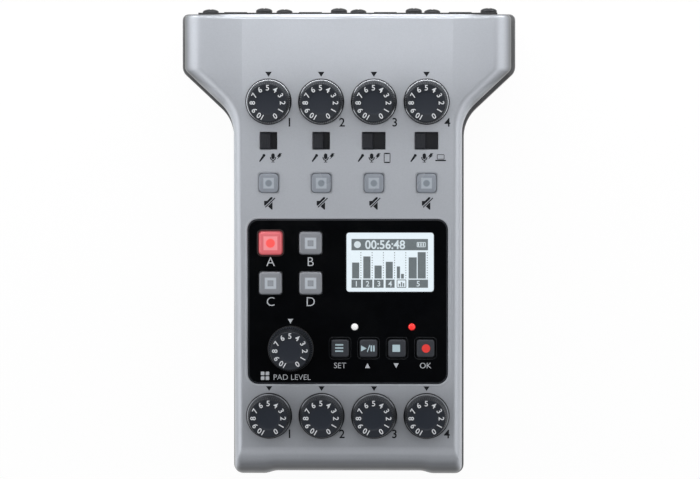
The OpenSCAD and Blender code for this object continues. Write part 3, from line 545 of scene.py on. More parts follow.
CELL = Finish("cell_sleeve", Slot.CELL, (184, 158, 102), 0.3, metallic=0.4, grain=0.004, fleck=0.08)
RUBBER = Finish("foot_rubber", Slot.RUBBER, (24, 24, 25), 0.7, grain=0.04, grain_scale=1500.0, edge=0.3)
PANEL_PRINT = printed("panel_print", Slot.SILVER, (20, 22, 27), specular=0.2)
WINDOW_PRINT = printed("window_print", Slot.WINDOW, (178, 182, 187))


# Flat outlines, in millimetres

def rounded_loop(w: float, h: float, r: float, steps: int = 5) -> list[Point2]:
    """Gives a rectangle with rounded corners, counterclockwise.

    Args:
        w: Width.
        h: Height.
        r: Corner radius.
        steps: Segments of each corner.

    Returns:
        The points of the loop.
    """
    points = []
    r = min(r, 0.499 * w, 0.499 * h)
    for quarter, (sx, sy) in enumerate(((1, 1), (-1, 1), (-1, -1), (1, -1))):
        for k in range(steps + 1):
            a = math.radians(90 * quarter + 90 * k / steps)
            points.append((sx * (w / 2 - r) + r * math.cos(a), sy * (h / 2 - r) + r * math.sin(a)))
    return points


def round_loop(r: float, steps: int = 20, x: float = 0.0, y: float = 0.0) -> list[Point2]:
    """Gives a circle of radius r around x, y."""
    turn = 2 * math.pi / steps
    return [(x + r * math.cos(turn * k), y + r * math.sin(turn * k)) for k in range(steps)]


def box_loop(x0: float, y0: float, x1: float, y1: float) -> list[Point2]:
    """Gives a plain rectangle between two corners."""
    return [(x0, y0), (x1, y0), (x1, y1), (x0, y1)]


def arc(rx: float, ry: float, y: float, start: float, end: float, steps: int = 10) -> list[Point2]:
    """Gives points along an ellipse around 0, y, between two angles in half turns."""
    angles = (math.pi * (start + (end - start) * k / steps) for k in range(steps + 1))
    return [(rx * math.cos(a), y + ry * math.sin(a)) for a in angles]


def line_section(width: float, high: float = PRINT) -> list[Point2]:
    """Gives the section of a drawn line, as distance outwards and height."""
    return [(0.0, 0.0), (0.0, high), (-width, high), (-width, 0.0)]


def bar_loop(a: Point2, b: Point2, wide_a: float, wide_b: float) -> list[Point2]:
    """Gives a straight bar between two points.

    Args:
        a: Start of the bar.
        b: End of the bar.
        wide_a: Width at the start.
        wide_b: Width at the end.

    Returns:
        The points of the loop.
    """
    along = (Vector(b) - Vector(a)).normalized()
    side = Vector((-along.y, along.x))
    ends = ((a, -wide_a), (b, -wide_b), (b, wide_b), (a, wide_a))
    return [tuple(Vector(p) + side * w / 2) for p, w in ends]


def kept_side(outline: Sequence[Point2], normal: Vector, edge: float) -> list[Point2]:
    """Cuts an outline along a line and keeps the side towards the normal.

    Args:
        outline: Points of the outline.
        normal: Unit vector across the cutting line.
        edge: Place of the line along the normal.

    Returns:
        The points of what is left.
    """
    left = []
    for i, point in enumerate(outline):
        p, q = Vector(point), Vector(outline[(i + 1) % len(outline)])
        dp, dq = normal.dot(p) - edge, normal.dot(q) - edge
        if dp >= 0:
            left.append(tuple(p))
        if dp * dq < 0:
            left.append(tuple(p + (q - p) * dp / (dp - dq)))
    return left


# Meshes

class Draft:
    """A closed shape that is being drawn, in millimetres."""

    def __init__(self) -> None:
        """Starts with nothing drawn."""
        self.points: list[Vector] = []
        self.faces: list[tuple[int, ...]] = []

    def add(self, points: Iterable[Sequence[float]], faces: Iterable[Sequence[int]]) -> "Draft":
        """Adds points and the faces between them.

        Args:
            points: Places of the points.
            faces: Each face as places in the list of these points.

        Returns:
            The draft itself.
        """
        start = len(self.points)
        self.points.extend(Vector(p) for p in points)
        self.faces.extend(tuple(start + i for i in face) for face in faces)
        return self

    def join(self, other: "Draft", place: Matrix) -> "Draft":
        """Adds another draft at a place."""
        return self.add((place @ p for p in other.points), other.faces)

    def loft(self, rings: Sequence[Sequence[Point3]], hoop: bool = False, capped: bool = True) -> "Draft":
        """Skins a stack of rings with the same number of points.

        Args:
            rings: The rings, from the lowest to the highest.
            hoop: True joins the last ring to the first.
            capped: True closes both ends of a stack that is no hoop.

        Returns:
            The draft itself.
        """
        n, count = len(rings[0]), len(rings)
        faces = [
            (k * n + i, k * n + (i + 1) % n, (k + 1) % count * n + (i + 1) % n, (k + 1) % count * n + i)
            for k in range(count if hoop else count - 1) for i in range(n)
        ]
        if capped and not hoop:
            faces += [tuple(reversed(range(n))), tuple(range((count - 1) * n, count * n))]
        return self.add((p for ring in rings for p in ring), faces)

    def prism(self, outline: Sequence[Point2], low: float = 0.0, high: float = PRINT) -> "Draft":
        """Raises an outline between two heights."""
        return self.loft([[(x, y, z) for x, y in outline] for z in (low, high)])

    def tower(self, rows: Sequence[tuple[float, float, float, float]]) -> "Draft":
        """Skins rounded rectangles, each given by its width, height, corner radius and level."""
        return self.loft([[(x, y, z) for x, y in rounded_loop(w, h, r)] for w, h, r, z in rows])

    def collar(self, w: float, h: float, r: float, section: Sequence[Point2]) -> "Draft":
        """Runs a section round a rounded rectangle.

        Args:
            w: Width of the rectangle.
            h: Height of the rectangle.
            r: Corner radius.
            section: Closed outline of distance outwards and height.

        Returns:
            The draft itself.
        """
        rings = [
            [(x, y, z) for x, y in rounded_loop(w + 2 * out, h + 2 * out, max(r + out, 0.02))]
            for out, z in section
        ]
        return self.loft(rings, hoop=True)

    def turned(self, profile: Sequence[Point2], steps: int) -> "Draft":
        """Turns a profile of radius and height about the vertical axis.

        Args:
            profile: Points from the axis to the axis, or a closed section away from it.
            steps: Segments round the axis.

        Returns:
            The draft itself.
        """
        angles = [2 * math.pi * k / steps for k in range(steps)]
        rings = [[(r * math.cos(a), r * math.sin(a), z) for a in angles] for r, z in profile]
        return self.loft(rings, hoop=profile[0][0] > 0, capped=False)

    def mesh(self, name: str, place: Matrix, sharp: float = SHARP, local: bool = False) -> bpy.types.Mesh:
        """Makes the mesh, with outward normals and sharp edges.

        Args:
            name: Name of the mesh.
            place: Matrix from the draft's millimetres to its place in metres.
            sharp: Edges that turn by more than this, in degrees, stay sharp.
            local: True keeps the draft's own x and y in a UV map.

        Returns:
            The mesh.
        """
        shape = bmesh.new()
        corners = [shape.verts.new(p) for p in self.points]
        for face in self.faces:
            shape.faces.new([corners[i] for i in face])
        bmesh.ops.remove_doubles(shape, verts=shape.verts, dist=MERGE)
        bmesh.ops.recalc_face_normals(shape, faces=shape.faces)
        made = bpy.data.meshes.new(name)
        shape.to_mesh(made)
        shape.free()
        made.shade_smooth()
        made.set_sharp_from_angle(angle=math.radians(sharp))
        if local:
            layer = made.uv_layers.new(name=LOCAL_UV)
            for loop in made.loops:
                layer.data[loop.index].uv = made.vertices[loop.vertex_index].co.xy
        made.transform(place)
        return made


def linked(name: str, data: bpy.types.ID) -> bpy.types.Object:
    """Adds an object to the scene.

    Args:
        name: Name of the object.
        data: Its mesh, curve, light or camera.

    Returns:
        The new object.
    """
    made = bpy.data.objects.new(name, data)
    bpy.context.scene.collection.objects.link(made)
    return made


def evaluated_mesh(holder: bpy.types.Object) -> bpy.types.Mesh:
    """Gives an object's mesh after its modifiers."""
    seen = holder.evaluated_get(bpy.context.evaluated_depsgraph_get())
    return bpy.data.meshes.new_from_object(seen)


GLYPHS: dict[tuple[str, float, float], Draft] = {}
GLYPH_STEPS = 4        # segments of a glyph's curves
GLYPH_DEPTH = 0.35     # half of a glyph's thickness before it is scaled, as a part of PRINT


def glyphs(text: str, height: float, weight: float) -> Draft:
    """Draws figures or letters as thin prisms around the origin.

    Args:
        text: What is drawn.
        height: Height of the drawn figures, in millimetres.
        weight: How far the strokes are widened, as a part of the type size.

    Returns:
        The draft, made once for each text, height and weight.
    """
    if (text, height, weight) in GLYPHS:
        return GLYPHS[text, height, weight]
    curve = bpy.data.curves.new("figures", "FONT")
    curve.body = text
    curve.resolution_u = GLYPH_STEPS
    curve.extrude = GLYPH_DEPTH * PRINT / height
    curve.offset = weight
    holder = linked("figures", curve)
    flat = evaluated_mesh(holder)
    low = Vector([min(v.co[k] for v in flat.vertices) for k in range(3)])
    high = Vector([max(v.co[k] for v in flat.vertices) for k in range(3)])
    size = height / (high.y - low.y)
    middle = Vector(((low.x + high.x) / 2, (low.y + high.y) / 2, low.z))
    drawn = Draft().add(((v.co - middle) * size for v in flat.vertices), (p.vertices for p in flat.polygons))
    bpy.data.objects.remove(holder)
    bpy.data.curves.remove(curve)
    bpy.data.meshes.remove(flat)
    GLYPHS[text, height, weight] = drawn
    return drawn


def merged(*meshes: bpy.types.Mesh) -> bpy.types.Mesh:
    """Joins meshes into the first one.

    Args:
        meshes: The meshes to join.

    Returns:
        The first mesh, which now holds them all.
    """
    shape = bmesh.new()
    for part in meshes:
        shape.from_mesh(part)
    shape.to_mesh(meshes[0])
    shape.free()
    return meshes[0]


def smooth_copy(node: str, flat_normal: Vector | None = None, sharp: float = 32.0) -> bpy.types.Mesh:
    """Copies a CAD node's mesh and shades its rolled edges smooth.

    Args:
        node: Name of the CAD node.
        flat_normal: Faces with this normal keep a crisp border.
        sharp: Edges that turn by more than this, in degrees, stay sharp.

    Returns:
        The copy, merged and closed.
    """
    shape = bmesh.new()
    shape.from_mesh(frame["nodes"][node].data)
    bmesh.ops.remove_doubles(shape, verts=shape.verts, dist=CAD_MERGE)
    shape.verts.index_update()
    points = [v.co.copy() for v in shape.verts]
    faces = [[v.index for v in face.verts] for face in shape.faces]
    shape.free()
    made = bpy.data.meshes.new(node + "_smooth")
    made.from_pydata(points, [], faces)
    made.shade_smooth()
    made.set_sharp_from_angle(angle=math.radians(sharp))
    if flat_normal is None:
        return made
    shape = bmesh.new()
    shape.from_mesh(made)
    for edge in shape.edges:
        flat = [face.normal.dot(flat_normal) > IN_PLANE for face in edge.link_faces]
        if len(flat) == 2 and flat[0] != flat[1]:
            edge.smooth = False
    shape.to_mesh(made)
    shape.free()
    return made


# Geometry node trees

class Repeat(Enum):
    """Ways in which a small shape is repeated."""

    AROUND = "around_axis"
    ALONG = "along_row"
    AT_POINTS = "at_points"


def repeat_tree(way: Repeat) -> bpy.types.NodeTree:
    """Gives the geometry node tree of a way to repeat and builds it at its first use.

    Args:
        way: Round the vertical axis, along a row, or at the points of a mesh.

    Returns:
        The node tree, which ends in real geometry with its material.
    """
    found = bpy.data.node_groups.get(way.value)
    if found:
        return found
    tree = bpy.data.node_groups.new(way.value, "GeometryNodeTree")
    graph = Graph(tree)
    inputs = {"Geometry": "NodeSocketGeometry", "Finish": "NodeSocketMaterial"}
    if way is Repeat.AT_POINTS:
        inputs["Part"] = "NodeSocketObject"
    else:
        inputs["Count"] = "NodeSocketInt"
    if way is Repeat.ALONG:
        inputs["Step"] = "NodeSocketVector"
    for name, kind in inputs.items():
        tree.interface.new_socket(name, in_out="INPUT", socket_type=kind)
    tree.interface.new_socket("Geometry", in_out="OUTPUT", socket_type="NodeSocketGeometry")
    given = graph.node("NodeGroupInput").outputs
    if way is Repeat.AT_POINTS:
        part = graph.node("GeometryNodeObjectInfo", {"Object": given["Part"]})
        points = graph.node("GeometryNodeMeshToPoints", {"Mesh": given["Geometry"]})
        laid = {"Points": points.outputs[0], "Instance": part.outputs["Geometry"]}
    elif way is Repeat.ALONG:
        line = graph.node("GeometryNodeMeshLine", {"Count": given["Count"], "Offset": given["Step"]})
        laid = {"Points": line.outputs[0], "Instance": given["Geometry"]}
    else:
        line = graph.node("GeometryNodeMeshLine", {"Count": given["Count"], "Offset": (0.0, 0.0, 0.0)})
        step = graph.math("DIVIDE", 2 * math.pi, given["Count"])
        angle = graph.math("MULTIPLY", graph.node("GeometryNodeInputIndex").outputs[0], step)
        turn = graph.node("ShaderNodeCombineXYZ", {"Z": angle})
        laid = {"Points": line.outputs[0], "Instance": given["Geometry"], "Rotation": turn.outputs[0]}
    placed = graph.node("GeometryNodeInstanceOnPoints", laid)
    real = graph.node("GeometryNodeRealizeInstances", {0: placed.outputs[0]})
    finished = {"Geometry": real.outputs[0], "Material": given["Finish"]}
    dressed = graph.node("GeometryNodeSetMaterial", finished)
    graph.node("NodeGroupOutput", {"Geometry": dressed.outputs[0]})
    return tree


def repeated(shape: bpy.types.Mesh, way: Repeat, finish: Finish, **values: object) -> bpy.types.Mesh:
    """Repeats a small shape through geometry nodes and gives a plain mesh.

    Args:
        shape: The shape, or the mesh whose points carry the part.
        way: How it is repeated.
        finish: The finish of the result.
        values: The tree's other inputs by name; Part takes a mesh.

    Returns:
        The repeated mesh.
    """
    tree = repeat_tree(way)
    holder = linked("repeat_holder", shape)
    helpers = [holder]
    values["Finish"] = finish.material()
    if "Part" in values:
        values["Part"] = linked("repeat_part", values["Part"])
        helpers.append(values["Part"])
    modifier = holder.modifiers.new("repeat", "NODES")
    modifier.node_group = tree
    for item in tree.interface.items_tree:
        if item.in_out == "INPUT" and item.name in values:
            modifier[item.identifier] = values[item.name]
    made = evaluated_mesh(holder)
    holder.modifiers.remove(modifier)
    for helper in helpers:
        bpy.data.objects.remove(helper)
    return made


def points_mesh(points: Sequence[Point3]) -> bpy.types.Mesh:
    """Makes a mesh of loose points.

    Args:
        points: The points, in millimetres.

    Returns:
        The mesh, in metres.
    """
    made = bpy.data.meshes.new("places")
    made.from_pydata([Vector(p) * MM for p in points], [], [])
    return made


def add_piece(
    name: str, mesh: bpy.types.Mesh, finish: Finish, node: str, stands_for: Sequence[str] = ()
) -> bpy.types.Object:
    """Shows a mesh as a piece of the recorder.

    Args:
        name: Name of the piece.
        mesh: Its mesh, in place.
        finish: Its finish.
        node: A CAD node on the body that it rides on.
        stands_for: CAD nodes that it replaces.

    Returns:
        The new object.
    """
    piece = linked(name, mesh)
    mesh.materials.clear()
    mesh.materials.append(finish.material())
    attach(piece, BODY_OF[node])
    if stands_for:
        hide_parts(*stands_for)
    log.info("%s: %d faces on %s", name, len(mesh.polygons), BODY_OF[node])
    return piece


def dress_node(node: str, finish: Finish) -> None:
    """Gives a CAD node that stays in view its finish.

    Args:
        node: Name of the CAD node.
        finish: Its finish.
    """
    shown = frame["nodes"][node]
    shown.data.materials.clear()
    shown.data.materials.append(finish.material())
    log.info("%s: dressed as %s", node, finish.name)


@dataclass(frozen=True)
class Panel:
    """The sloping control panel and the places on it, in millimetres."""

    tilt: float = 2.5
    rear_height: float = 38.3
    rear_y: float = 76.7
    channel_pitch: float = 17.55
    gain_y: float = 47.1
    phones_y: float = -58.0
    switch_y: float = 34.0
    mute_y: float = 19.9
    window_y: float = -19.8
    slot_widths: tuple[float, ...] = (6.0, 6.0, 8.0, 8.0)

    def place(self, x: float = 0.0, y: float = 0.0, z: float = 0.0, turn: float = 0.0) -> Matrix:
        """Gives the matrix from a draft to its place on the panel.

        Args:
            x: Place across the panel.
            y: Place along the panel.
            z: Height over the panel.
            turn: Turn about the panel's normal, in degrees.

        Returns:
            A matrix from millimetres to metres.
        """
        slope = math.radians(self.tilt)
        height = self.rear_height - self.rear_y * math.tan(slope)
        plane = Matrix.Translation((0.0, 0.0, height)) @ Matrix.Rotation(slope, 4, "X")
        return Matrix.Scale(MM, 4) @ plane @ spot(x, y, z, turn)

    def normal(self) -> Vector:
        """Gives the unit vector that points out of the panel."""
        slope = math.radians(self.tilt)
        return Vector((0.0, -math.sin(slope), math.cos(slope)))

    def channel_x(self, i: int) -> float:
        """Gives a channel's place across the panel."""
        return (i - 1.5) * self.channel_pitch


def spot(x: float = 0.0, y: float = 0.0, z: float = 0.0, turn: float = 0.0) -> Matrix:
    """Gives the matrix that moves a draft to a spot and turns it there."""
    return Matrix.Translation((x, y, z)) @ Matrix.Rotation(math.radians(turn), 4, "Z")


PANEL = Panel()
CASE = Matrix.Scale(MM, 4)
CHANNELS = range(4)


@dataclass
class CaseShells:
    """The silver top cover, the dark bottom cover and what is printed on the panel.

    A chamfer is given by its width and depth, and a number's place from the middle of its knob.
    """

    slot_l: float = 6.0
    slot_r: float = 0.3
    slot_chamfer: Point2 = (0.16, 0.2)
    mute_opening: float = 7.4
    mute_r: float = 1.5
    mute_chamfer: Point2 = (0.4, 0.08)
    window: Point2 = (67.1, 55.5)
    window_r: float = 3.6
    window_lip: tuple[Point2, ...] = (
        (0.7, -0.02), (0.62, 0.035), (0.52, 0.05), (0.0, -0.09), (-0.07, -0.2), (-0.07, -0.25), (0.7, -0.25),
    )
    print_lift: float = 0.005
    pointer: Point2 = (2.2, 1.65)
    pointer_ys: Point2 = (56.2, -48.9)
    numeral_h: float = 2.9
    numeral_weight: float = 0.012
    gain_number: Point2 = (6.95, -6.9)
    phones_number: Point2 = (6.8, -6.15)
    mute_drop: float = 6.75
    icon_drop: float = 5.7
    icon_shift: float = 2.2
    kept: dict[str, Finish] = field(default_factory=lambda: {
        "rear_panel": BLACK, "battery_cover": DARK_SHELL, "rubber_feet": RUBBER, "case_screws": SCREW,
    })

    def build(self) -> None:
        """Builds the shells, their edges and the dark legends."""
        add_piece("case_top", smooth_copy("top_cover", PANEL.normal()), SILVER, "top_cover", ["top_cover"])
        add_piece("case_bottom", smooth_copy("bottom_cover"), DARK_SHELL, "bottom_cover", ["bottom_cover"])
        for node, finish in self.kept.items():
            dress_node(node, finish)
        add_piece("panel_edges", self.edges().mesh("panel_edges", PANEL.place()), SILVER, "top_cover")
        legends = self.legends().mesh("panel_legends", PANEL.place(z=self.print_lift))
        add_piece("panel_legends", legends, PANEL_PRINT, "top_cover")

    @staticmethod
    def chamfer(width: float, depth: float) -> list[Point2]:
        """Gives the section of a sloped edge inside an opening, as distance outwards and height."""
        lap, back = 0.02, -depth - 0.05
        return [(lap, 0.0), (-0.04, -0.005), (-width, -depth), (-width, back), (lap, back)]

    def edges(self) -> Draft:
        """Draws the sloped edges of the window's seat, the selector slots and the mute openings.

        Returns:
            The draft, on the panel.
        """
        drawn = Draft()
        seat = Draft().collar(*self.window, self.window_r, self.window_lip)
        drawn.join(seat, spot(0, PANEL.window_y))
        side = self.mute_opening
        opening = Draft().collar(side, side, self.mute_r, self.chamfer(*self.mute_chamfer))
        for i in CHANNELS:
            section = self.chamfer(*self.slot_chamfer)
            slot = Draft().collar(PANEL.slot_widths[i], self.slot_l, self.slot_r, section)
            drawn.join(slot, spot(PANEL.channel_x(i), PANEL.switch_y))
            drawn.join(opening, spot(PANEL.channel_x(i), PANEL.mute_y))
        return drawn

    def legends(self) -> Draft:
        """Draws pointers, channel numbers and the symbols of the inputs and of muting.

        Returns:
            The draft, on the panel.
        """
        drawn = Draft()
        last_icons = {2: (phone_mark(), 6.6), 3: (computer_mark(), 6.9)}
        for i in CHANNELS:
            x = PANEL.channel_x(i)
            number = glyphs(str(i + 1), self.numeral_h, self.numeral_weight)
            icon_x = x - (self.icon_shift if i in last_icons else 0.0)
            icon_y = PANEL.switch_y - self.icon_drop
            marks = [(pointer_mark(*self.pointer), x, y) for y in self.pointer_ys]
            marks += [
                (number, x + self.gain_number[0], PANEL.gain_y + self.gain_number[1]),
                (number, x + self.phones_number[0], PANEL.phones_y + self.phones_number[1]),
                (mute_mark(), x, PANEL.mute_y - self.mute_drop),
                (stick_microphone(), icon_x - 2.2, icon_y),
                (stand_microphone(), icon_x + 1.45, icon_y),
                (bolt_mark(), icon_x + 3.5, icon_y + 0.5),
            ]
            if i in last_icons:
                icon, right = last_icons[i]
                marks.append((icon, icon_x + right, icon_y))
            for mark, mark_x, mark_y in marks:
                drawn.join(mark, spot(mark_x, mark_y))
        return drawn


def pointer_mark(w: float, h: float) -> Draft:
    """Draws a triangle that points towards the user."""
    return Draft().prism([(-w / 2, h / 2), (0.0, -h / 2), (w / 2, h / 2)])


def stick_microphone() -> Draft:
    """Draws a slanted microphone with a round head."""
    handle = bar_loop((-0.85, -1.25), (0.38, 0.42), 0.42, 0.78)
    return Draft().prism(handle).prism(round_loop(0.5, 16, 0.62, 0.82))


def stand_microphone() -> Draft:
    """Draws a microphone on a stand, in a fork.

    Returns:
        The draft, around the origin.
    """
    drawn = Draft().join(Draft().prism(rounded_loop(1.15, 1.9, 0.57)), spot(0, 0.55))
    drawn.prism(arc(1.05, 1.2, 0.25, 1, 2) + arc(0.72, 0.88, 0.25, 2, 1))
    drawn.prism(box_loop(-0.14, -1.3, 0.14, -0.9))
    return drawn.prism(box_loop(-0.55, -1.5, 0.55, -1.28))


def bolt_mark() -> Draft:
    """Draws a bolt for the supply of the microphones."""
    return Draft().prism([
        (-0.8, -1.0), (-0.2, -0.1), (-0.78, -0.1), (0.05, 1.1), (0.95, 1.0), (0.4, 0.32), (0.85, 0.32),
    ])


def phone_mark() -> Draft:
    """Draws the outline of a telephone.

    Returns:
        The draft, around the origin.
    """
    drawn = Draft().collar(2.2, 3.4, 0.35, line_section(0.24))
    for y in (-1.45, 1.45):
        drawn.prism(box_loop(-0.75, y - 0.16, 0.75, y + 0.16))
    return drawn


def computer_mark() -> Draft:
    """Draws the outline of a portable computer."""
    drawn = Draft().join(Draft().collar(2.5, 1.7, 0.25, line_section(0.2)), spot(0, 0.35))
    return drawn.join(Draft().prism(rounded_loop(3.6, 0.42, 0.2)), spot(0, -0.85))


def mute_mark() -> Draft:
    """Draws a loudspeaker that is struck through.

    Returns:
        The draft, around the origin.
    """
    speaker = [
        (-1.55, 0.8), (-0.55, 0.8), (0.72, 2.05), (1.25, 2.05), (1.25, -2.1), (0.9, -2.1), (-0.55, -0.75),
        (-1.55, -0.75),
    ]
    across = Vector((-0.6924, 0.7215))
    middle, half = -0.15, 0.4
    drawn = Draft().prism(kept_side(speaker, across, middle + half))
    drawn.prism(kept_side(speaker, -across, half - middle))
    return drawn.prism(bar_loop((-1.15, -1.35), (2.1, 1.77), 0.34, 0.34))


@dataclass
class Knobs:
    """The nine numbered knobs: turned body, ribs, polished bead and figures.

    Profiles are of radius and height. A rib's row has its inner and outer radius, half width and height.
    """

    ribs: int = 60
    rib_rows: tuple[tuple[float, float, float, float], ...] = (
        (6.8, 7.12, 0.24, 1.75), (6.75, 7.17, 0.24, 2.05), (6.3, 6.7, 0.22, 9.15), (6.28, 6.5, 0.2, 9.45),
    )
    rib_tip: float = 0.45
    rib_sharp: float = 50.0
    bead_sharp: float = 60.0
    steps: int = 96
    figure_h: float = 1.85
    figure_weight: float = 0.012
    figure_r: float = 5.03
    figure_z: float = 9.835
    figure_step: float = 30.0
    pad_knob: Point2 = (-19.06, -35.5)
    # The phones and pad knobs take darker copies of the polished bead, as painted shade.
    beads: dict[str, Finish] = field(default_factory=lambda: {
        "gain": KNOB_BEAD, "phones": SATIN_SHADED_BEAD, "pad": DARK_SHADED_BEAD})
    profile: tuple[Point2, ...] = (
        (0.0, 9.66), (3.3, 9.68), (3.7, 9.72), (3.95, 9.82), (4.1, 9.84), (5.9, 9.84), (6.12, 9.88),
        (6.3, 9.86), (6.42, 9.76), (6.48, 9.6), (6.52, 9.3), (6.98, 1.95), (7.06, 1.62), (7.2, 1.45),
        (7.46, 1.42), (7.62, 1.32), (7.7, 1.12), (7.7, 0.62), (7.62, 0.46), (7.45, 0.4), (3.05, 0.4),
        (3.05, 6.6), (0.0, 6.6),
    )
    bead: tuple[Point2, ...] = (
        (6.9, 1.3), (6.96, 1.96), (7.02, 2.02), (7.1, 2.01), (7.3, 1.92), (7.37, 1.84), (7.39, 1.66),
        (7.38, 1.3),
    )

    def build(self) -> None:
        """Builds every knob from one pattern."""
        turned = Draft().turned(self.profile, self.steps)
        body = merged(turned.mesh("knob", Matrix(), local=True), self.rib_ring())
        bead = Draft().turned(self.bead, self.steps).mesh("bead", Matrix(), self.bead_sharp)
        figures = self.figures().mesh("figures", spot(z=self.figure_z))
        rows = {"gain": PANEL.gain_y, "phones": PANEL.phones_y}
        places = {f"{row}_{i + 1}": (PANEL.channel_x(i), y) for row, y in rows.items() for i in CHANNELS}
        places["pad_level"] = self.pad_knob
        for name, (x, y) in places.items():
            stem, _, number = name.rpartition("_")
            node = f"{stem}_knob_{number}" if number.isdigit() else f"{name}_knob"
            parts = {"grip": (body, KNOB, [node]), "bead": (bead, self.beads[stem], []),
                     "figures": (figures, KNOB_PRINT, [])}
            for part, (pattern, finish, stands_for) in parts.items():
                copy = pattern.copy()
                copy.transform(PANEL.place(x, y))
                add_piece(f"{name}_{part}", copy, finish, node, stands_for)
            dress_node(node.replace("knob", "shaft"), STEEL)

    def rib_ring(self) -> bpy.types.Mesh:
        """Repeats one rib round the knob's tapered wall.

        Returns:
            The mesh of all ribs.
        """
        tip = self.rib_tip
        rib = Draft().loft([
            [(r_in, -half, z), (r_out, -half * tip, z), (r_out, half * tip, z), (r_in, half, z)]
            for r_in, r_out, half, z in self.rib_rows
        ]).mesh("rib", Matrix(), self.rib_sharp, local=True)
        return repeated(rib, Repeat.AROUND, KNOB, Count=self.ribs)

    def figures(self) -> Draft:
        """Draws 0 to 10 round the face, with 5 away from the user.

        Returns:
            The draft, around the knob's axis.
        """
        drawn = Draft()
        for number in range(11):
            angle = 90.0 - (5 - number) * self.figure_step
            a = math.radians(angle)
            place = spot(self.figure_r * math.cos(a), self.figure_r * math.sin(a), 0, angle - 90)
            drawn.join(glyphs(str(number), self.figure_h, self.figure_weight), place)
        return drawn


@dataclass
class Selectors:
    """The four input selectors with their bevelled, ridged levers."""

    travels: tuple[float, ...] = (2.1, 2.1, 4.2, 4.2)
    lever: Point2 = (3.5, 5.4)
    proud: float = 0.8
    plate_l: float = 7.2
    plate_spare: float = 0.6
    plate_z: Point2 = (-3.1, -2.3)
    stem: float = 2.4
    stem_z: float = -8.0
    ridges: int = 4
    ridge_w: float = 0.26
    ridge_pitch: float = 0.6

    def build(self) -> None:
        """Builds the levers in their slots."""
        w, l = self.lever
        low, high = self.plate_z
        first = -self.ridge_pitch * (self.ridges - 1) / 2
        for i, travel in enumerate(self.travels):
            plate_w = PANEL.slot_widths[i] + travel + self.plate_spare
            drawn = Draft().tower([
                (self.stem, self.stem, 0.1, self.stem_z), (self.stem, self.stem, 0.1, low),
                (plate_w, self.plate_l, 0.1, low), (plate_w, self.plate_l, 0.1, high),
                (w, l, 0.15, high), (w, l, 0.15, self.proud - 0.45),
                (w - 0.18, l - 0.18, 0.15, self.proud - 0.2), (w - 0.6, l - 0.5, 0.15, self.proud - 0.02),
            ])
            place = PANEL.place(PANEL.channel_x(i) - travel / 2, PANEL.switch_y)
            ridge = Draft().prism(rounded_loop(self.ridge_w, l - 1.0, 0.1), self.proud - 0.1, self.proud)
            ridges = repeated(ridge.mesh("ridge", spot(x=first)), Repeat.ALONG, LEVER, Count=self.ridges,
                              Step=(self.ridge_pitch, 0.0, 0.0))
            ridges.transform(place)
            node = f"selector_lever_{i + 1}"
            body = merged(drawn.mesh("lever", place), ridges)
            add_piece(f"selector_{i + 1}_lever", body, LEVER, node, [node])


@dataclass(frozen=True)
class Cap:
    """A key's cap: its side, corner radius, height over the panel and the width of its rounded edge."""

    size: float
    corner: float
    proud: float
    bevel: float
    stem: float = 3.0
    stem_z: float = -4.95
    flange_spare: float = 1.8
    flange_z: Point2 = (-3.15, -2.15)
    crown: float = 0.015

    def draft(self) -> Draft:
        """Draws the key: stem, flange under the panel and a cap with a rounded edge.

        Returns:
            The draft, around the key's axis.
        """
        size, corner, bevel, stem = self.size, self.corner, self.bevel, self.stem
        flange = size + self.flange_spare
        low, high = self.flange_z
        rows = [(stem, stem, stem / 2, self.stem_z), (stem, stem, stem / 2, low),
                (flange, flange, 0.2, low), (flange, flange, 0.2, high), (size, size, corner, high)]
        for k in range(5):
            a = math.radians(22.5 * k)
            inset = bevel * (1 - math.cos(a))
            side = size - 2 * inset
            rows.append((side, side, max(corner - inset, 0.2), self.proud - bevel * 0.7 * (1 - math.sin(a))))
        inner = size - 2 * bevel - 0.5
        rows.append((inner, inner, max(corner - bevel, 0.2), self.proud + self.crown))
        return Draft().tower(rows)


@dataclass
class Keys:
    """The mute keys, sound pads and transport keys with their light guides and symbols."""

    mute: Cap = Cap(6.4, 1.3, 0.85, 0.45)
    pad: Cap = Cap(7.5, 1.1, 1.35, 0.7)
    key: Cap = Cap(5.8, 0.9, 0.65, 0.4)
    pad_middle: Point2 = (-19.06, -6.84)
    pad_pitch: float = 13.4
    keys_x: float = 11.7
    key_pitch: float = 9.53
    keys_y: float = -35.4

    def pad_places(self) -> list[Point2]:
        """Gives the middles of the four sound pads, row by row."""
        (x, y), half = self.pad_middle, self.pad_pitch / 2
        return [(x + across * half, y + along * half) for along in (1, -1) for across in (-1, 1)]

    def key_places(self) -> list[Point2]:
        """Gives the middles of the four transport keys."""
        return [(self.keys_x + (i - 1.5) * self.key_pitch, self.keys_y) for i in CHANNELS]

    def build(self) -> None:
        """Builds every key at its place."""
        for i in CHANNELS:
            node = f"mute_key_{i + 1}"
            mute = self.mute.draft().mesh(node, PANEL.place(PANEL.channel_x(i), PANEL.mute_y), local=True)
            add_piece(f"mute_{i + 1}_cap", mute, CLEAR_KEY, node, [node])
        for letter, (x, y) in zip("abcd", self.pad_places()):
            node = f"sound_pad_{letter}"
            pad = self.pad.draft().mesh(node, PANEL.place(x, y), local=True)
            add_piece(f"pad_{letter}_cap", pad, PAD_LIT if letter == "a" else PAD_UNLIT, node, [node])
        symbols = {"menu": menu_mark(), "play": play_mark(), "stop": stop_mark(), "record": record_mark()}
        for (name, symbol), (x, y) in zip(symbols.items(), self.key_places()):
            node, place = f"{name}_key", PANEL.place(x, y)
            add_piece(f"{name}_cap", self.key.draft().mesh(node, place), DARK_KEY, node, [node])
            ink = KEY_RED if name == "record" else KEY_PRINT
            add_piece(f"{name}_symbol", symbol.mesh(node, place @ spot(z=self.key.proud)), ink, node)


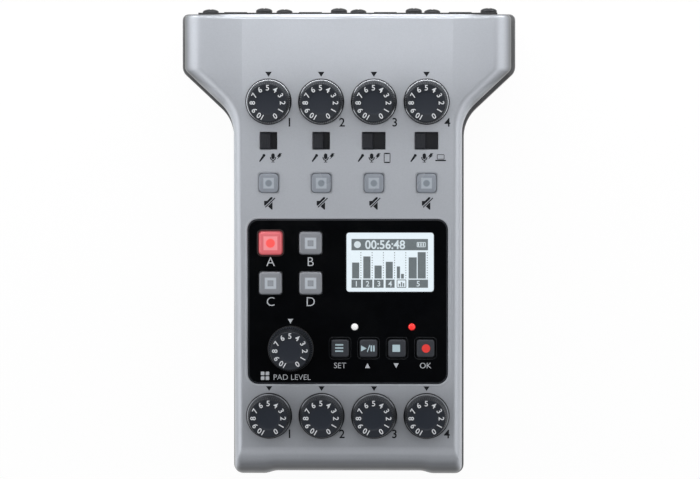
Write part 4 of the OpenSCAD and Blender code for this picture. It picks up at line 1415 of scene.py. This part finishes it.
def menu_mark() -> Draft:
    """Draws three bars.

    Returns:
        The draft, around the key's axis.
    """
    drawn = Draft()
    for y in (-1.05, 0.0, 1.05):
        drawn.join(Draft().prism(rounded_loop(2.7, 0.48, 0.1), 0.0, KEY_INK), spot(-0.25, y + 0.15))
    return drawn


def play_mark() -> Draft:
    """Draws the triangle, the stroke and the two bars of play or pause.

    Returns:
        The draft, around the key's axis.
    """
    drawn = Draft().prism([(-2.5, -1.0), (-0.6, 0.0), (-2.5, 1.0)], 0.0, KEY_INK)
    drawn.prism(bar_loop((-0.4, -1.15), (0.45, 1.15), 0.3, 0.3), 0.0, KEY_INK)
    for x in (0.95, 1.8):
        drawn.prism(box_loop(x - 0.26, -1.0, x + 0.26, 1.0), 0.0, KEY_INK)
    return drawn


def stop_mark() -> Draft:
    """Draws a square."""
    return Draft().join(Draft().prism(rounded_loop(2.55, 2.4, 0.15), 0.0, KEY_INK), spot(-0.25, 0.05))


def record_mark() -> Draft:
    """Draws a round dot."""
    return Draft().prism(round_loop(1.4, 36, 0.15), 0.0, KEY_INK)


@dataclass
class ControlWindow:
    """The gloss black window with its openings, pale legends, lamps and lit display."""

    surface: float = -0.25
    size: Point2 = (66.9, 55.3)
    corner: float = 3.5
    # The border and the rims carry painted reflection of bevels, in a lighter grey than the window.
    border: tuple[Point2, ...] = ((-0.02, -0.1), (-0.02, 0.004), (-0.5, 0.012), (-0.6, -0.1))
    rim: tuple[Point2, ...] = (
        (0.1, 0.0), (0.1, 0.01), (0.03, 0.02), (-0.06, -0.12), (-0.06, -0.2), (0.1, -0.2),
    )
    pad_opening: float = 8.1
    pad_r: float = 1.2
    halo: tuple[Point2, ...] = ((0.5, 0.0), (0.5, 0.008), (0.0, 0.008), (-0.02, -0.4), (0.0, -0.4))
    key_well: float = 7.2
    key_well_r: float = 1.3
    print_lift: float = 0.002
    display: Point2 = (29.3, 19.9)
    display_r: float = 1.0
    display_at: Point2 = (14.15, -6.6)
    glass_z: float = -0.45
    lamps: tuple[Point2, ...] = ((2.3, -28.25), (21.4, -28.25))
    lamp_r: float = 1.1
    keys: Keys = field(default_factory=Keys)

    def build(self) -> None:
        """Builds the window's trim, display and lamps."""
        dress_node("control_window", WINDOW)
        # The rims and the window's border are lighter grey as painted reflection of their bevels.
        trim = self.trim().mesh("trim", PANEL.place(z=self.surface))
        add_piece("window_trim", trim, WINDOW_EDGE_SHEEN, "control_window")
        # Painted glow of the lit pad on the window round it.
        halo = Draft().collar(self.pad_opening, self.pad_opening, self.pad_r, self.halo)
        lit_pad = PANEL.place(*self.keys.pad_places()[0], self.surface)
        add_piece("pad_a_halo", halo.mesh("halo", lit_pad), PAD_GLOW, "control_window")
        legends = self.legends().mesh("legends", PANEL.place(z=self.surface + self.print_lift))
        add_piece("window_legends", legends, WINDOW_PRINT, "control_window")
        self.build_display()
        self.build_lamps()

    def trim(self) -> Draft:
        """Draws the fine rims round the key wells, the display and the window itself.

        Returns:
            The draft, on the window.
        """
        drawn = Draft()
        well = Draft().collar(self.key_well, self.key_well, self.key_well_r, self.rim)
        for place in self.keys.key_places():
            drawn.join(well, spot(*place))
        drawn.join(Draft().collar(*self.display, self.display_r, self.rim), spot(*self.display_at))
        return drawn.join(Draft().collar(*self.size, self.corner, self.border), spot(0, PANEL.window_y))

    def legends(self) -> Draft:
        """Draws the pads' letters, the keys' arrows and words, and the mark of the pads.

        Returns:
            The draft, on the window.
        """
        drawn = Draft()
        for letter, (x, y) in zip("ABCD", self.keys.pad_places()):
            drawn.join(glyphs(letter, 2.95, -0.008), spot(x, y - 6.25))
        (menu_x, y), (up_x, _), (down_x, _), (enter_x, _) = self.keys.key_places()
        drawn.join(glyphs("SET", 1.85, -0.006), spot(menu_x, y - 5.8))
        drawn.join(glyphs("OK", 1.85, -0.006), spot(enter_x, y - 5.8))
        arrow = pointer_mark(1.7, 1.65)
        drawn.join(arrow, spot(up_x - 0.35, y - 5.85, 0, 180))
        drawn.join(arrow, spot(down_x - 0.3, y - 5.85))
        drawn.join(pointer_mark(1.75, 1.6), spot(self.keys.pad_middle[0] - 0.1, -26.4))
        square = Draft().prism(rounded_loop(1.2, 1.2, 0.2))
        for dx in (-0.8, 0.8):
            for dy in (-0.8, 0.8):
                drawn.join(square, spot(-27.7 + dx, -44.7 + dy))
        return drawn.join(glyphs("PAD LEVEL", 1.8, -0.006), spot(-18.6, -45.15))

    def build_display(self) -> None:
        """Builds the lit glass, its frame and what it shows."""
        w, l = self.display
        glass = Draft().tower([
            (w - 0.2, l - 0.2, 0.9, -2.1), (w - 0.2, l - 0.2, 0.9, self.glass_z - 0.06),
            (w - 0.32, l - 0.32, 0.85, self.glass_z),
        ])
        hold = Draft().tower([
            (w + 6, l + 6, 1.0, -10.5), (w + 6, l + 6, 1.0, -2.4), (w + 5.6, l + 5.6, 1.0, -2.15),
        ])
        node, place = "display_module", PANEL.place(*self.display_at)
        add_piece("display_face", glass.mesh("glass", place), DISPLAY_GLASS, node, [node])
        add_piece("display_hold", hold.mesh("hold", place), DISPLAY_FRAME, node, [node])
        ink, pale = self.readout()
        over = PANEL.place(*self.display_at, self.glass_z)
        add_piece("display_ink", ink.mesh("ink", over), DISPLAY_INK, node)
        add_piece("display_figures", pale.mesh("pale", over @ spot(z=SCREEN_INK)), DISPLAY_PALE, node)

    def readout(self) -> tuple[Draft, Draft]:
        """Draws a counter, level bars and channel boxes.

        Returns:
            The dark shapes, and the pale figures that lie on them.
        """
        ink, pale = Draft(), Draft()

        def box(drawn: Draft, *corners: float) -> None:
            """Adds a flat box between two corners."""
            drawn.prism(box_loop(*corners), 0.0, SCREEN_INK)

        box(ink, -12.9, 4.0, 12.65, 7.8)
        pale.join(Draft().prism(round_loop(1.15, 24), 0.0, SCREEN_INK), spot(-10.9, 5.9))
        narrow = Matrix.Diagonal((0.96, 1.0, 1.0, 1.0))
        pale.join(glyphs("00:56:48", 3.05, 0.02), spot(-1.65, 5.9) @ narrow)
        pale.join(Draft().collar(3.0, 1.7, 0.3, line_section(0.25, SCREEN_INK)), spot(10.4, 5.9))
        for x in (9.5, 10.3, 11.1):
            box(pale, x - 0.22, 5.4, x + 0.22, 6.4)
        bars = ((-12.7, -10.3, -0.1), (-8.95, -6.55, 1.95), (-5.2, -2.8, -1.1), (-1.45, 0.9, 0.15),
                (2.25, 3.3, -1.4), (3.65, 4.6, -3.9), (6.2, 8.9, 1.65), (9.2, 11.9, 3.4))
        for x0, x1, top in bars:
            box(ink, x0, -5.45, x1, top)
        boxes = ((-12.9, -9.65), (-9.15, -5.9), (-5.4, -2.15), (-1.5, 1.5), (6.1, 12.65))
        for number, (x0, x1) in enumerate(boxes, 1):
            box(ink, x0, -8.55, x1, -5.8)
            pale.join(glyphs(str(number), 1.85, 0.012), spot((x0 + x1) / 2, -7.2))
        ink.join(Draft().collar(3.2, 2.75, 0.2, line_section(0.26, SCREEN_INK)), spot(3.8, -7.17))
        for x, top in ((3.1, -7.2), (3.8, -6.6), (4.5, -7.0)):
            box(ink, x - 0.22, -8.1, x + 0.22, top)
        for x in (-9.75, -6.0, -2.25, 1.5, 5.25, 12.4):
            for k in range(11):
                box(ink, x - 0.13, -5.4 + 0.84 * k, x + 0.13, -5.05 + 0.84 * k)
        return ink, pale

    def build_lamps(self) -> None:
        """Builds the two status lamps as domed lenses on their stems."""
        r = self.lamp_r
        dome = [(0.0, 0.0), (0.45 * r, -0.03), (0.75 * r, -0.12), (0.93 * r, -0.26), (r, -0.45), (r, -7.35),
                (r + 0.5, -7.35), (r + 0.5, -10.5), (0.0, -10.5)]
        for (x, y), name, finish in zip(self.lamps, ("left", "right"), (WHITE_LAMP, RED_LAMP)):
            lens = Draft().turned(dome, 32).mesh("lamp", PANEL.place(x, y))
            add_piece(f"lamp_{name}", lens, finish, "status_lamps", ["status_lamps"])


OUTWARD = CASE @ Matrix.Rotation(math.radians(-90), 4, "X")     # from a draft's up to the rear


@dataclass
class RearSockets:
    """The microphone sockets with their contacts, release tabs and screws."""

    pitch: float = 25.0
    face_y: float = 76.7
    axis_z: float = 18.8
    screw: Point2 = (9.5, 12.0)
    head_r: float = 2.75
    head_h: float = 1.6
    thread_r: float = 1.4
    thread_l: float = 5.0
    contact_r: float = 4.5
    contact_angles: Point3 = (90.0, 210.0, 330.0)
    sleeve: tuple[Point2, ...] = (
        (0.75, 0.0), (0.85, 0.06), (1.2, 0.06), (1.27, 0.0), (1.27, -6.0), (0.75, -6.0),
    )
    core_sunk: float = 1.5
    tab_z: float = 31.7
    ridge_pitch: float = 0.8

    def build(self) -> None:
        """Builds screws, contacts and the ridges of the release tabs."""
        dress_node("socket_housings", BLACK)
        middles = [(i - 1.5) * self.pitch for i in CHANNELS]
        places = [
            (x + s * self.screw[0], self.face_y, self.axis_z + s * self.screw[1])
            for x in middles for s in (-1, 1)
        ]
        screws = repeated(points_mesh(places), Repeat.AT_POINTS, SCREW, Part=self.screw_mesh())
        add_piece("socket_screw_set", screws, SCREW, "socket_screws", ["socket_screws"])
        r, core_y = self.contact_r, self.face_y - self.core_sunk
        contacts = [
            (x + r * math.cos(a), core_y, self.axis_z + r * math.sin(a))
            for x in middles for a in map(math.radians, self.contact_angles)
        ]
        sleeve = Draft().turned(self.sleeve, 24).mesh("sleeve", OUTWARD)
        sleeves = repeated(points_mesh(contacts), Repeat.AT_POINTS, STEEL, Part=sleeve)
        add_piece("socket_contacts", sleeves, STEEL, "socket_housings")
        ridge = Draft().prism(rounded_loop(7.6, 0.34, 0.16), -0.1, 0.22)
        for i, x in enumerate(middles):
            start = Matrix.Translation(Vector((x, self.face_y, self.tab_z - self.ridge_pitch)) * MM)
            row = repeated(ridge.mesh("ridge", start @ OUTWARD), Repeat.ALONG, BLACK, Count=3,
                           Step=(0.0, 0.0, self.ridge_pitch * MM))
            dress_node(f"socket_release_{i + 1}", LEVER)
            add_piece(f"release_{i + 1}_ridges", row, LEVER, f"socket_release_{i + 1}")

    def screw_mesh(self) -> bpy.types.Mesh:
        """Makes one screw with a domed head and a cross recess, pointing out of the rear face.

        Returns:
            The mesh, in metres.
        """
        r, h = self.head_r, self.head_h
        dome = [(0.0, h)]
        dome += [(r * math.sin(a), h * 0.35 + h * 0.65 * math.cos(a))
                 for a in map(math.radians, (20, 40, 60, 75, 90))]
        dome += [(r, 0.0), (self.thread_r, 0.0), (self.thread_r, -self.thread_l), (0.0, -self.thread_l)]
        head = linked("screw", Draft().turned(dome, 40).mesh("screw", Matrix()))
        recess = Draft().prism(box_loop(-1.45, -0.27, 1.45, 0.27), h - 0.9, h + 1)
        recess.prism(box_loop(-0.27, -1.45, 0.27, 1.45), h - 0.95, h + 1.1)
        cutter = linked("recess", recess.mesh("recess", Matrix()))
        cut = head.modifiers.new("recess", "BOOLEAN")
        cut.object, cut.operation, cut.solver, cut.use_self = cutter, "DIFFERENCE", "EXACT", True
        done = evaluated_mesh(head)
        for helper in (head, cutter):
            bpy.data.objects.remove(helper)
        done.set_sharp_from_angle(angle=math.radians(SHARP))
        done.transform(OUTWARD)
        return done


@dataclass
class SidePorts:
    """The jacks, ports, card slot and power slide in the lower case."""

    jack_front: float = -76.8
    jack_z: float = 9.6
    collar: tuple[Point2, ...] = (
        (1.85, -0.1), (1.85, 0.1), (1.98, 0.26), (2.2, 0.3), (2.36, 0.24), (2.42, 0.0), (2.42, -0.1),
    )
    phone_jack: Point2 = (-38.1, -27.5)
    power_ridge: Point3 = (38.5, -7.6, 10.3)
    ridge_pitch: float = 0.8
    kept: dict[str, Finish] = field(default_factory=lambda: {
        "mini_jacks": BLACK, "bus_ports": STEEL, "card_socket": STEEL, "power_slide": LEVER,
    })

    def build(self) -> None:
        """Builds the jacks' metal collars and the grip of the power slide."""
        for node, finish in self.kept.items():
            dress_node(node, finish)
        collar = Draft().turned(self.collar, 40)
        front = CASE @ Matrix.Rotation(math.radians(90), 4, "X")
        places = [(PANEL.channel_x(i), self.jack_front, self.jack_z) for i in CHANNELS]
        row = repeated(points_mesh(places), Repeat.AT_POINTS, STEEL, Part=collar.mesh("collar", front))
        side = Matrix.Translation(Vector((*self.phone_jack, self.jack_z)) * MM) @ CASE
        left = collar.mesh("collar", side @ Matrix.Rotation(math.radians(-90), 4, "Y"))
        add_piece("jack_collars", merged(row, left), STEEL, "mini_jacks")
        ridge = Draft().prism(rounded_loop(2.8, 0.36, 0.16), -0.1, 0.16)
        right = CASE @ Matrix.Rotation(math.radians(90), 4, "Y")
        start = Matrix.Translation(Vector(self.power_ridge) * MM) @ right
        ridges = repeated(ridge.mesh("ridge", start), Repeat.ALONG, LEVER, Count=5,
                          Step=(0.0, self.ridge_pitch * MM, 0.0))
        add_piece("power_ridges", ridges, LEVER, "power_slide")


@dataclass
class Innards:
    """What is inside the case: boards, switches, cells and contacts."""

    finishes: dict[str, Finish] = field(default_factory=lambda: {
        "pot_bodies": COMPONENT, "slide_switch_bodies": COMPONENT, "key_switches": BLACK,
        "main_board": BOARD, "lower_board": BOARD, "battery_contacts": STEEL, "battery_cells": CELL,
    })

    def build(self) -> None:
        """Dresses the inner CAD nodes."""
        for node, finish in self.finishes.items():
            dress_node(node, finish)


LAMP_AIM = Vector((0.0, 0.0, 0.02))
WHITE = (1.0, 1.0, 1.0, 1.0)


@dataclass(frozen=True)
class Lamp:
    """A soft area light that looks at the recorder, in metres and watts."""

    name: str
    place: Point3
    size: Point2
    power: float

    def build(self) -> None:
        """Adds the light to the scene."""
        data = bpy.data.lights.new(self.name, "AREA")
        data.shape = "RECTANGLE"
        data.size, data.size_y = self.size
        data.energy = self.power
        light = linked(self.name, data)
        light.location = self.place
        light.rotation_mode = "QUATERNION"
        light.rotation_quaternion = (LAMP_AIM - Vector(self.place)).to_track_quat("-Z", "Y")


@dataclass
class Studio:
    """Pale floor, soft lights, sky and the camera above the recorder.

    The sky's rise, fall and turn are ranges of the direction's height and depth.
    """

    camera_at: Point3 = (0.04, 0.05, 1.85)
    camera_aim: Point3 = (0.00067, 0.0009, 0.03)
    focal_pixels: float = 5442.0
    image_w: int = 700
    sensor_w: float = 36.0
    clip: Point2 = (0.05, 20.0)
    floor_half: float = 3.0
    floor_z: float = -1e-5
    floor_white: float = 0.96
    floor_grey: float = 0.82
    sky_horizon: float = 0.1
    sky_peak: float = 0.28
    sky_zenith: float = 0.03
    sky_front: float = 0.55
    sky_rise: Point2 = (0.0, 0.3)
    sky_fall: Point2 = (0.7, 0.92)
    sky_turn: Point2 = (-0.7, 0.5)
    lamps: tuple[Lamp, ...] = (
        Lamp("top_softbox", (0.0, 0.13, 0.5), (0.28, 0.28), 0.5),
        Lamp("rear_softbox", (0.0, 0.27, 0.26), (0.5, 0.15), 0.26),
        Lamp("front_softbox", (0.0, -0.34, 0.55), (0.9, 0.16), 0.45),
        Lamp("rear_strip", (0.0, 0.16, 0.06), (0.4, 0.03), 0.4),
        Lamp("left_softbox", (-0.5, 0.0, 0.3), (0.7, 0.6), 2.3),
        Lamp("right_softbox", (0.5, 0.0, 0.3), (0.7, 0.6), 1.8),
    )

    def build(self) -> None:
        """Builds the floor, the lights, the sky and the camera."""
        bpy.context.scene.view_settings.view_transform = "Standard"
        self.build_floor()
        for lamp in self.lamps:
            lamp.build()
        self.build_sky()
        self.build_camera()

    def build_floor(self) -> None:
        """Lays a pale floor that the camera sees nearly white, with the recorder's shadow."""
        half = self.floor_half
        mesh = bpy.data.meshes.new("floor")
        corners = [(x, y, self.floor_z) for x, y in box_loop(-half, -half, half, half)]
        mesh.from_pydata(corners, [], [(0, 1, 2, 3)])
        floor = linked("floor", mesh)
        made = bpy.data.materials.new("pale_floor")
        graph = fresh_graph(made)
        path = graph.node("ShaderNodeLightPath").outputs
        seen = graph.math("MAXIMUM", path["Is Camera Ray"],
                          graph.math("MAXIMUM", path["Is Glossy Ray"], path["Is Transmission Ray"]))
        white = graph.node("ShaderNodeEmission", {"Color": WHITE, "Strength": 1.0})
        matt = graph.node("ShaderNodeBsdfDiffuse", {"Color": (*[self.floor_grey] * 3, 1.0)})
        both = graph.node("ShaderNodeMixShader", {
            0: graph.math("MULTIPLY", seen, self.floor_white), 1: matt.outputs[0], 2: white.outputs[0],
        })
        graph.node("ShaderNodeOutputMaterial", {"Surface": both.outputs[0]})
        mesh.materials.append(made)

    def build_sky(self) -> None:
        """Sets a sky that is pale half-way up and dim overhead and towards the user."""
        world = bpy.data.worlds.new("studio")
        bpy.context.scene.world = world
        graph = fresh_graph(world)
        way = graph.node("ShaderNodeTexCoord").outputs["Generated"]
        split = graph.node("ShaderNodeSeparateXYZ", {0: way}).outputs
        ring = graph.math("MINIMUM", graph.remap(split["Z"], *self.sky_rise, self.sky_horizon, self.sky_peak),
                          graph.remap(split["Z"], *self.sky_fall, self.sky_peak, self.sky_zenith))
        front = graph.remap(split["Y"], *self.sky_turn, self.sky_front, 1.0)
        strength = graph.math("MULTIPLY", ring, front)
        sky = graph.node("ShaderNodeBackground", {"Color": WHITE, "Strength": strength})
        graph.node("ShaderNodeOutputWorld", {"Surface": sky.outputs[0]})

    def build_camera(self) -> None:
        """Places the camera above the recorder, as the photograph was taken."""
        data = bpy.data.cameras.new("camera")
        data.sensor_width = self.sensor_w
        data.lens = self.focal_pixels / self.image_w * data.sensor_width
        data.clip_start, data.clip_end = self.clip
        camera = linked("camera", data)
        camera.location = self.camera_at
        camera.rotation_mode = "QUATERNION"
        back = (Vector(self.camera_at) - Vector(self.camera_aim)).normalized()
        right = Vector((0.0, 1.0, 0.0)).cross(back).normalized()
        axes = Matrix((right, back.cross(right), back)).transposed()
        camera.rotation_quaternion = axes.to_quaternion()
        bpy.context.scene.camera = camera


def main() -> None:
    """Builds the sub-assemblies, then the studio, and reports each piece."""
    logging.basicConfig(level=logging.INFO, format="%(name)s %(message)s")
    parts = (
        CaseShells(), ControlWindow(), Knobs(), Selectors(), Keys(), RearSockets(), SidePorts(), Innards(),
    )
    for part in parts:
        log.info("building %s", type(part).__name__)
        part.build()
    Studio().build()


if __name__ == "__main__":
    main()
